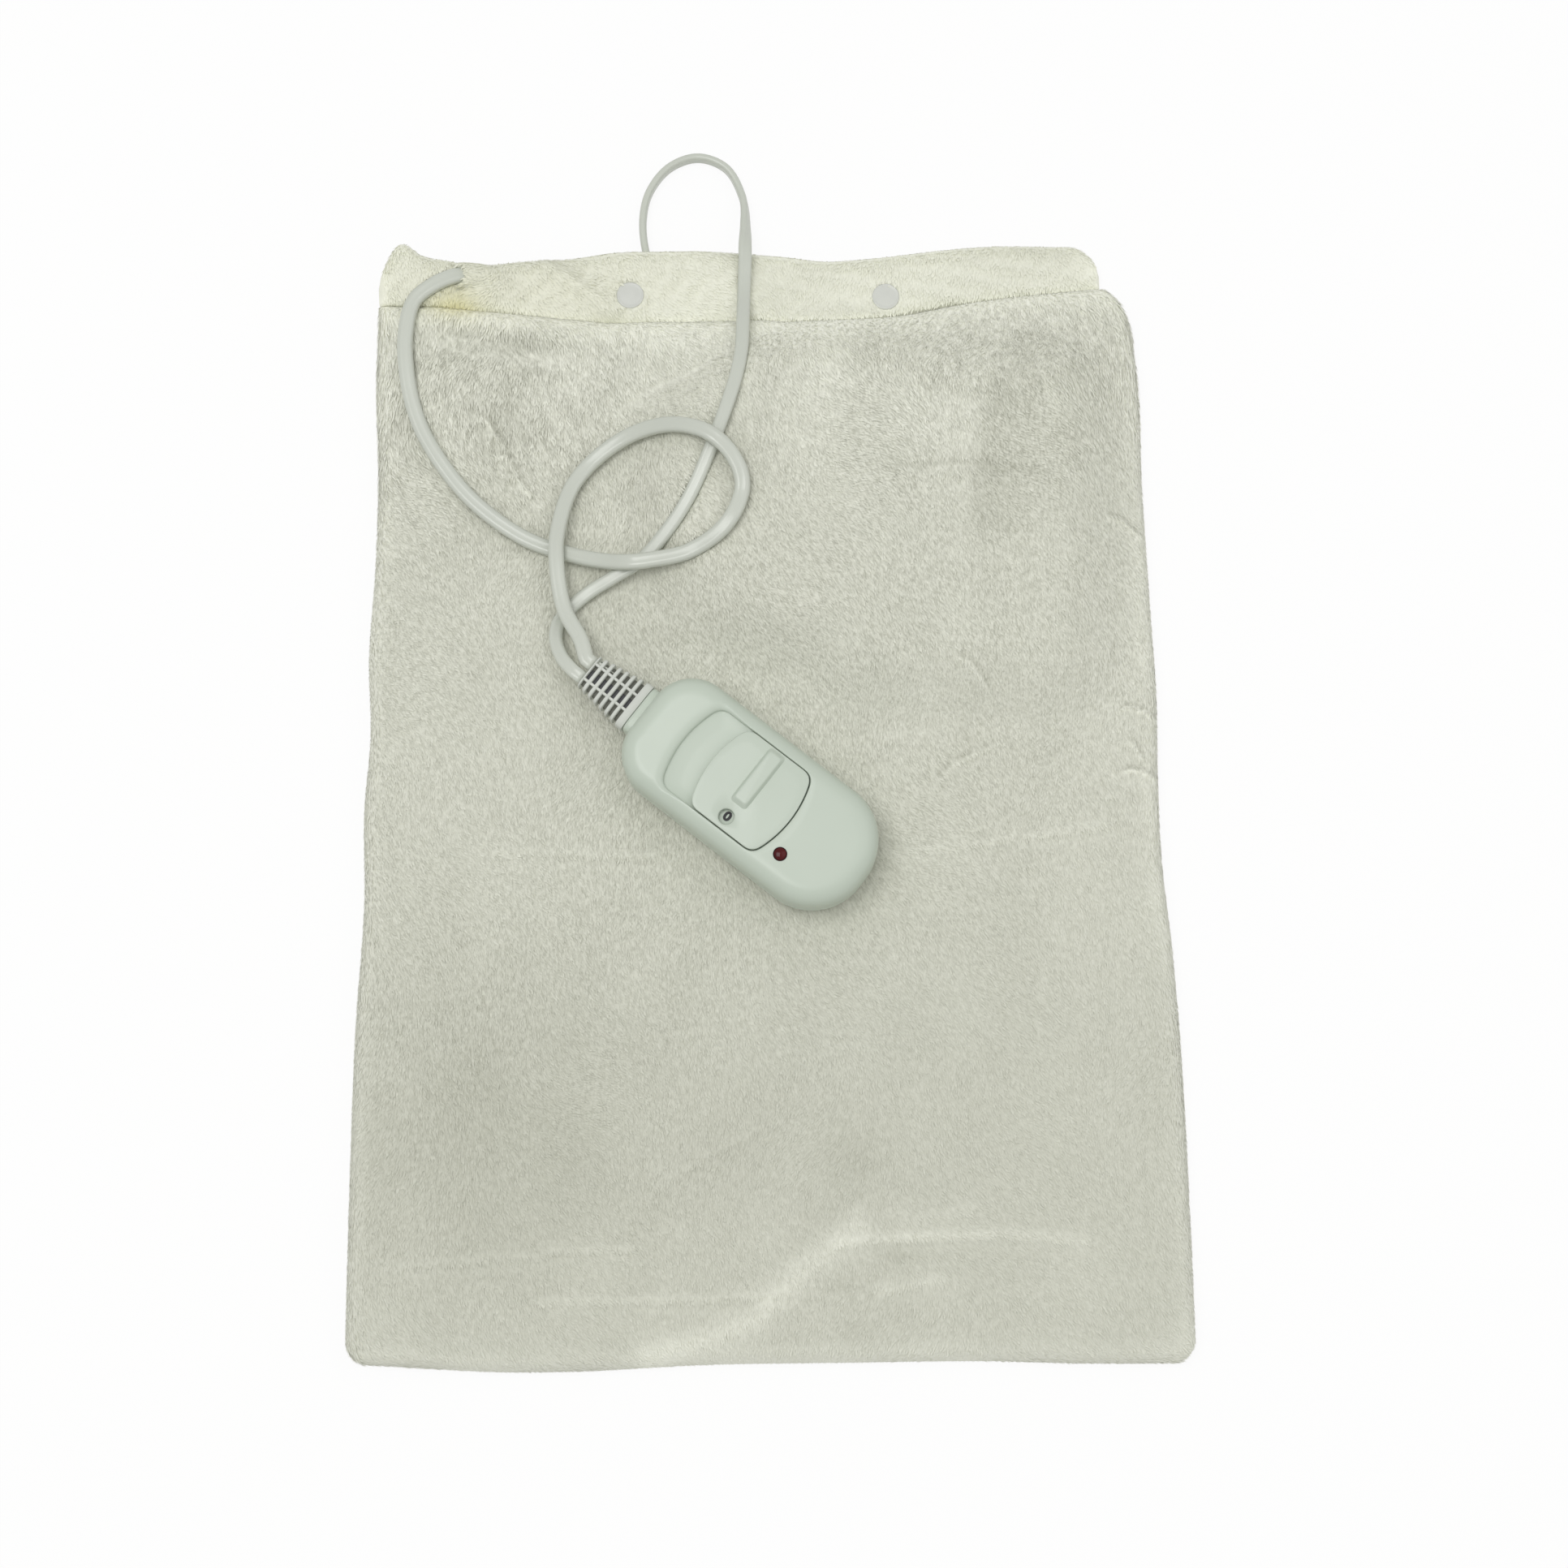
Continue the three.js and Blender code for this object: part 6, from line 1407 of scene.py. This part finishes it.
        rings = [ring(at(CASE_EDGE) * share, 0, centre) for share in (0.4, 0.8)]
        for turn in np.radians(np.linspace(0, 90, 9)):
            rings.append(ring(at(CASE_EDGE * (1 - np.sin(turn))), CASE_EDGE * (1 - np.cos(turn)), centre))
        parting = ((0, 11), (0.15, 11.3), (0.25, 11.5), (WALL, 11.5))
        rings += [ring(at(groove), z, centre) for groove, z in parting]
        for turn in np.radians(np.linspace(90, 0, 7)):
            rings.append(ring(at(CASE_EDGE - inner * np.sin(turn)), CASE_EDGE - inner * np.cos(turn), centre))
        rings.append(ring(at(CASE_EDGE) * 0.4, WALL, centre))
        case_piece("case_bottom", loft(np.array(rings)), "case_plastic", "controller_bottom_shell")

    def slider(self):
        """Button as rings from the window's wall over the top and the edge to the underside and back, and
        a finger rib as a stack of rounded outlines that draw in towards its flat top."""
        outline = spokes(barrel(-19.3, 18.4, 18.5), WINDOW)
        sides = [(WINDOW_RADIUS, BUTTON_LOW), (WINDOW_RADIUS, 25.0), (3.12, 25.4), (3.45, BUTTON_TOP)]
        sides += [(3.45 + (outline - 3.95) * share, BUTTON_TOP) for share in (0.3, 0.6, 0.85, 1.0)]
        eased = ((0.26, 25.54), (0.1, 25.42), (0.02, 25.25), (0, 25.0))
        sides += [(outline - inset, z) for inset, z in eased]
        sides += [(outline, BUTTON_LOW + 0.2), (outline - 0.2, BUTTON_LOW)]
        sides += [(WINDOW_RADIUS + (outline - WINDOW_RADIUS) * 0.5, BUTTON_LOW)]
        rings = [ring(radius, z, WINDOW) for radius, z in sides]
        levels = [
            (0, 0, 25.5), (0.2, 0.15, 25.75), (1.4, 0.8, 27.0), (1.65, 1.0, 27.32), (2.0, 1.3, 27.48),
            (2.5, 1.8, 27.52),
        ]
        rib = []
        for end, side, z in levels:
            corner = 1.7 - side / 2
            bar = round_box(end - 12.8, 12.8 - end, 3.8 - side, corner, corner)
            rib.append(ring(spokes(bar, (0, 0)), z, (0, 0)))
        rib = np.array(rib)
        rib = np.stack([-rib[..., 1], rib[..., 0] - 5.2, rib[..., 2]], -1)
        shape = together(loft(np.array(rings), wrap=True), loft(rib))
        case_piece("slider_cap", shape, "case_plastic", "slider_button", "slider")

    def digits(self):
        """Printed digits 0 to 3 on the channel's floor, one under each stop of the window."""
        height = scene_look("controller_look").digit_height / MM
        for value in range(4):
            text = bpy.data.curves.new(f"digit_{value}", "FONT")
            text.body = str(value)
            text.size = height / 0.7
            text.align_x = "CENTER"
            text.align_y = "CENTER"
            text.extrude = 0.02
            text.offset = 0.26
            holder = placed(f"digit_{value}", text)
            bpy.context.view_layer.update()
            solved = holder.evaluated_get(bpy.context.evaluated_depsgraph_get())
            mesh = bpy.data.meshes.new_from_object(solved)
            points = np.zeros(3 * len(mesh.vertices))
            mesh.vertices.foreach_get("co", points)
            faces = [list(polygon.vertices) for polygon in mesh.polygons]
            bpy.data.objects.remove(holder)
            place = (WINDOW[0] + STOP_STEP * value, WINDOW[1] - 0.5, CHANNEL_FLOOR + 0.06)
            points = points.reshape(-1, 3) * (-1.1, -1, 1) + place
            case_piece(f"digit_mark_{value}", (points, faces), "mark_ink", sharp=30, closed=False)

    def lens(self):
        """Low domed lens in a thin dark collar."""
        x, y, _ = from_case(np.array([[-24.3, 12.4, 0]]))[0]
        base = CASE_PLACE[2] + CASE_HEIGHT
        turn = np.radians(np.linspace(0, 90, 9))
        crown = [(2.4 * np.sin(t), base + 0.1 + 0.8 * np.cos(t)) for t in turn]
        piece("lens_dome", *lathe(crown + [(2.4, base - 1), (0, base - 1)], x, y), "lens_red",
              replaces=["indicator_lens"], sharp=50)
        collar = [(2.25, -0.6), (2.3, 0.2), (2.5, 0.3), (2.7, 0.18), (2.78, -0.6)]
        turn = turns(48)
        rings = []
        for radius, lift in collar:
            plan = x + radius * np.cos(turn), y + radius * np.sin(turn)
            rings.append(np.stack([*plan, np.full(48, base + lift)], -1))
        piece("lens_collar", *loft(np.array(rings), wrap=True), "lens_rim", sharp=50)


class PAD_OT_inside(bpy.types.Operator):
    """Finishes of the CAD pieces that keep their shape"""

    bl_idname = "heating_pad.inside"
    bl_label = "Inner pieces"

    def execute(self, context):
        for name, node in frame["nodes"].items():
            if not node.hide_render:
                node.data.materials.clear()
                node.data.materials.append(finish(SLOT_OF[name]))
        return {"FINISHED"}


class PAD_OT_stage(bpy.types.Operator):
    """Camera, pale floor, two large soft lamps and an even sky"""

    bl_idname = "heating_pad.stage"
    bl_label = "Stage"

    def execute(self, context):
        look = scene_look("stage_look")
        scene = context.scene
        scene.view_settings.view_transform = "Standard"
        self.camera(scene, look)
        self.floor(look)
        self.lamps(look)
        self.sky(scene, look)
        return {"FINISHED"}

    def camera(self, scene, look):
        """Camera above the middle of the view, leaning back by the tilt and turned by the roll."""
        middle = Vector((8.6 * MM, 4.4 * MM, 0))
        eye = bpy.data.cameras.new("view")
        eye.lens = look.lens
        eye.sensor_width = 36
        eye.clip_end = 20
        made = placed("view", eye)
        right = Vector((math.cos(look.roll), math.sin(look.roll), 0))
        level = Vector((0, 0, 1)).cross(right)
        back = Vector((0, 0, 1)) * math.cos(look.tilt) - level * math.sin(look.tilt)
        up = back.cross(right)
        turn = Matrix((right, up, back)).transposed().to_4x4()
        made.matrix_world = Matrix.Translation(middle + back * look.distance) @ turn
        scene.camera = made

    def seen(self, tree):
        """One on rays that come from the camera, straight, mirrored or through glass, and nought on
        others."""
        ray = add(tree, "ShaderNodeLightPath").outputs
        direct = worked(tree, "MAXIMUM", ray["Is Camera Ray"], ray["Is Glossy Ray"])
        return worked(tree, "MAXIMUM", direct, ray["Is Transmission Ray"])

    def floor(self, look):
        """Wide plane that the camera sees as white, with a share of lit floor left so that it keeps the
        shadow."""
        mesh = bpy.data.meshes.new("floor")
        wide, white_share = 6.0, 0.9
        corners = [(-wide, -wide, 0), (wide, -wide, 0), (wide, wide, 0), (-wide, wide, 0)]
        mesh.from_pydata(corners, [], [(0, 1, 2, 3)])
        made = placed("floor", mesh)
        pale = bpy.data.materials.new("pale_floor")
        pale.use_nodes = True
        tree = pale.node_tree
        tree.nodes.clear()
        share = worked(tree, "MULTIPLY", self.seen(tree), white_share)
        lit = add(tree, "ShaderNodeBsdfDiffuse", {"Color": tuple(look.floor)})
        white = add(tree, "ShaderNodeEmission", {"Color": (1, 1, 1, 1), "Strength": 1.0})
        both = add(tree, "ShaderNodeMixShader", {0: share, 1: lit.outputs[0], 2: white.outputs[0]})
        add(tree, "ShaderNodeOutputMaterial", {"Surface": both.outputs[0]})
        mesh.materials.append(pale)

    def lamps(self, look):
        """Key lamp from the left and a weaker fill from the right, both aimed at the middle."""
        for name, place, size, power in (
            ("key", (-0.55, 0.1, 2.05), 1.0, look.key),
            ("fill", (1.0, 0.2, 1.6), 1.4, look.key * 0.3),
        ):
            lamp = bpy.data.lights.new(name, "AREA")
            lamp.size = size
            lamp.energy = power
            made = placed(name, lamp)
            aim = Vector(place).to_track_quat("Z", "Y").to_matrix().to_4x4()
            made.matrix_world = Matrix.Translation(Vector(place)) @ aim

    def sky(self, scene, look):
        """Even light from all round, which the camera sees as white."""
        sky = bpy.data.worlds.new("even_sky")
        scene.world = sky
        sky.use_nodes = True
        tree = sky.node_tree
        tree.nodes.clear()
        level = spread(tree, self.seen(tree), 0, 1, look.sky, 1.0)
        light = add(tree, "ShaderNodeBackground", {"Color": (1, 1, 1, 1), "Strength": level})
        add(tree, "ShaderNodeOutputWorld", {"Surface": light.outputs[0]})


class PAD_PT_looks(bpy.types.Panel):
    """Sizes and colours of the heating pad"""

    bl_idname = "PAD_PT_looks"
    bl_label = "Heating pad"
    bl_space_type = "VIEW_3D"
    bl_region_type = "UI"
    bl_category = "Heating pad"

    def draw(self, context):
        for name in LOOKS:
            box = self.layout.box()
            look = getattr(context.scene, name)
            for key in type(look).__annotations__:
                box.prop(look, key)
        for operator in OPERATORS:
            self.layout.operator(operator.bl_idname)


LOOKS = {
    "cover_look": CoverLook,
    "cord_look": CordLook,
    "controller_look": ControllerLook,
    "stage_look": StageLook,
}
OPERATORS = (PAD_OT_stage, PAD_OT_cords, PAD_OT_cover, PAD_OT_hem, PAD_OT_controller, PAD_OT_inside)
CLASSES = (*LOOKS.values(), *OPERATORS, PAD_PT_looks)


def register():
    for kind in CLASSES:
        bpy.utils.register_class(kind)
    for name, kind in LOOKS.items():
        setattr(bpy.types.Scene, name, bpy.props.PointerProperty(type=kind))


def unregister():
    for name in LOOKS:
        delattr(bpy.types.Scene, name)
    for kind in reversed(CLASSES):
        bpy.utils.unregister_class(kind)


def main():
    """Makes every piece in order."""
    register()
    for operator in OPERATORS:
        group, name = operator.bl_idname.split(".")
        getattr(getattr(bpy.ops, group), name)()


if __name__ == "__main__":
    main()
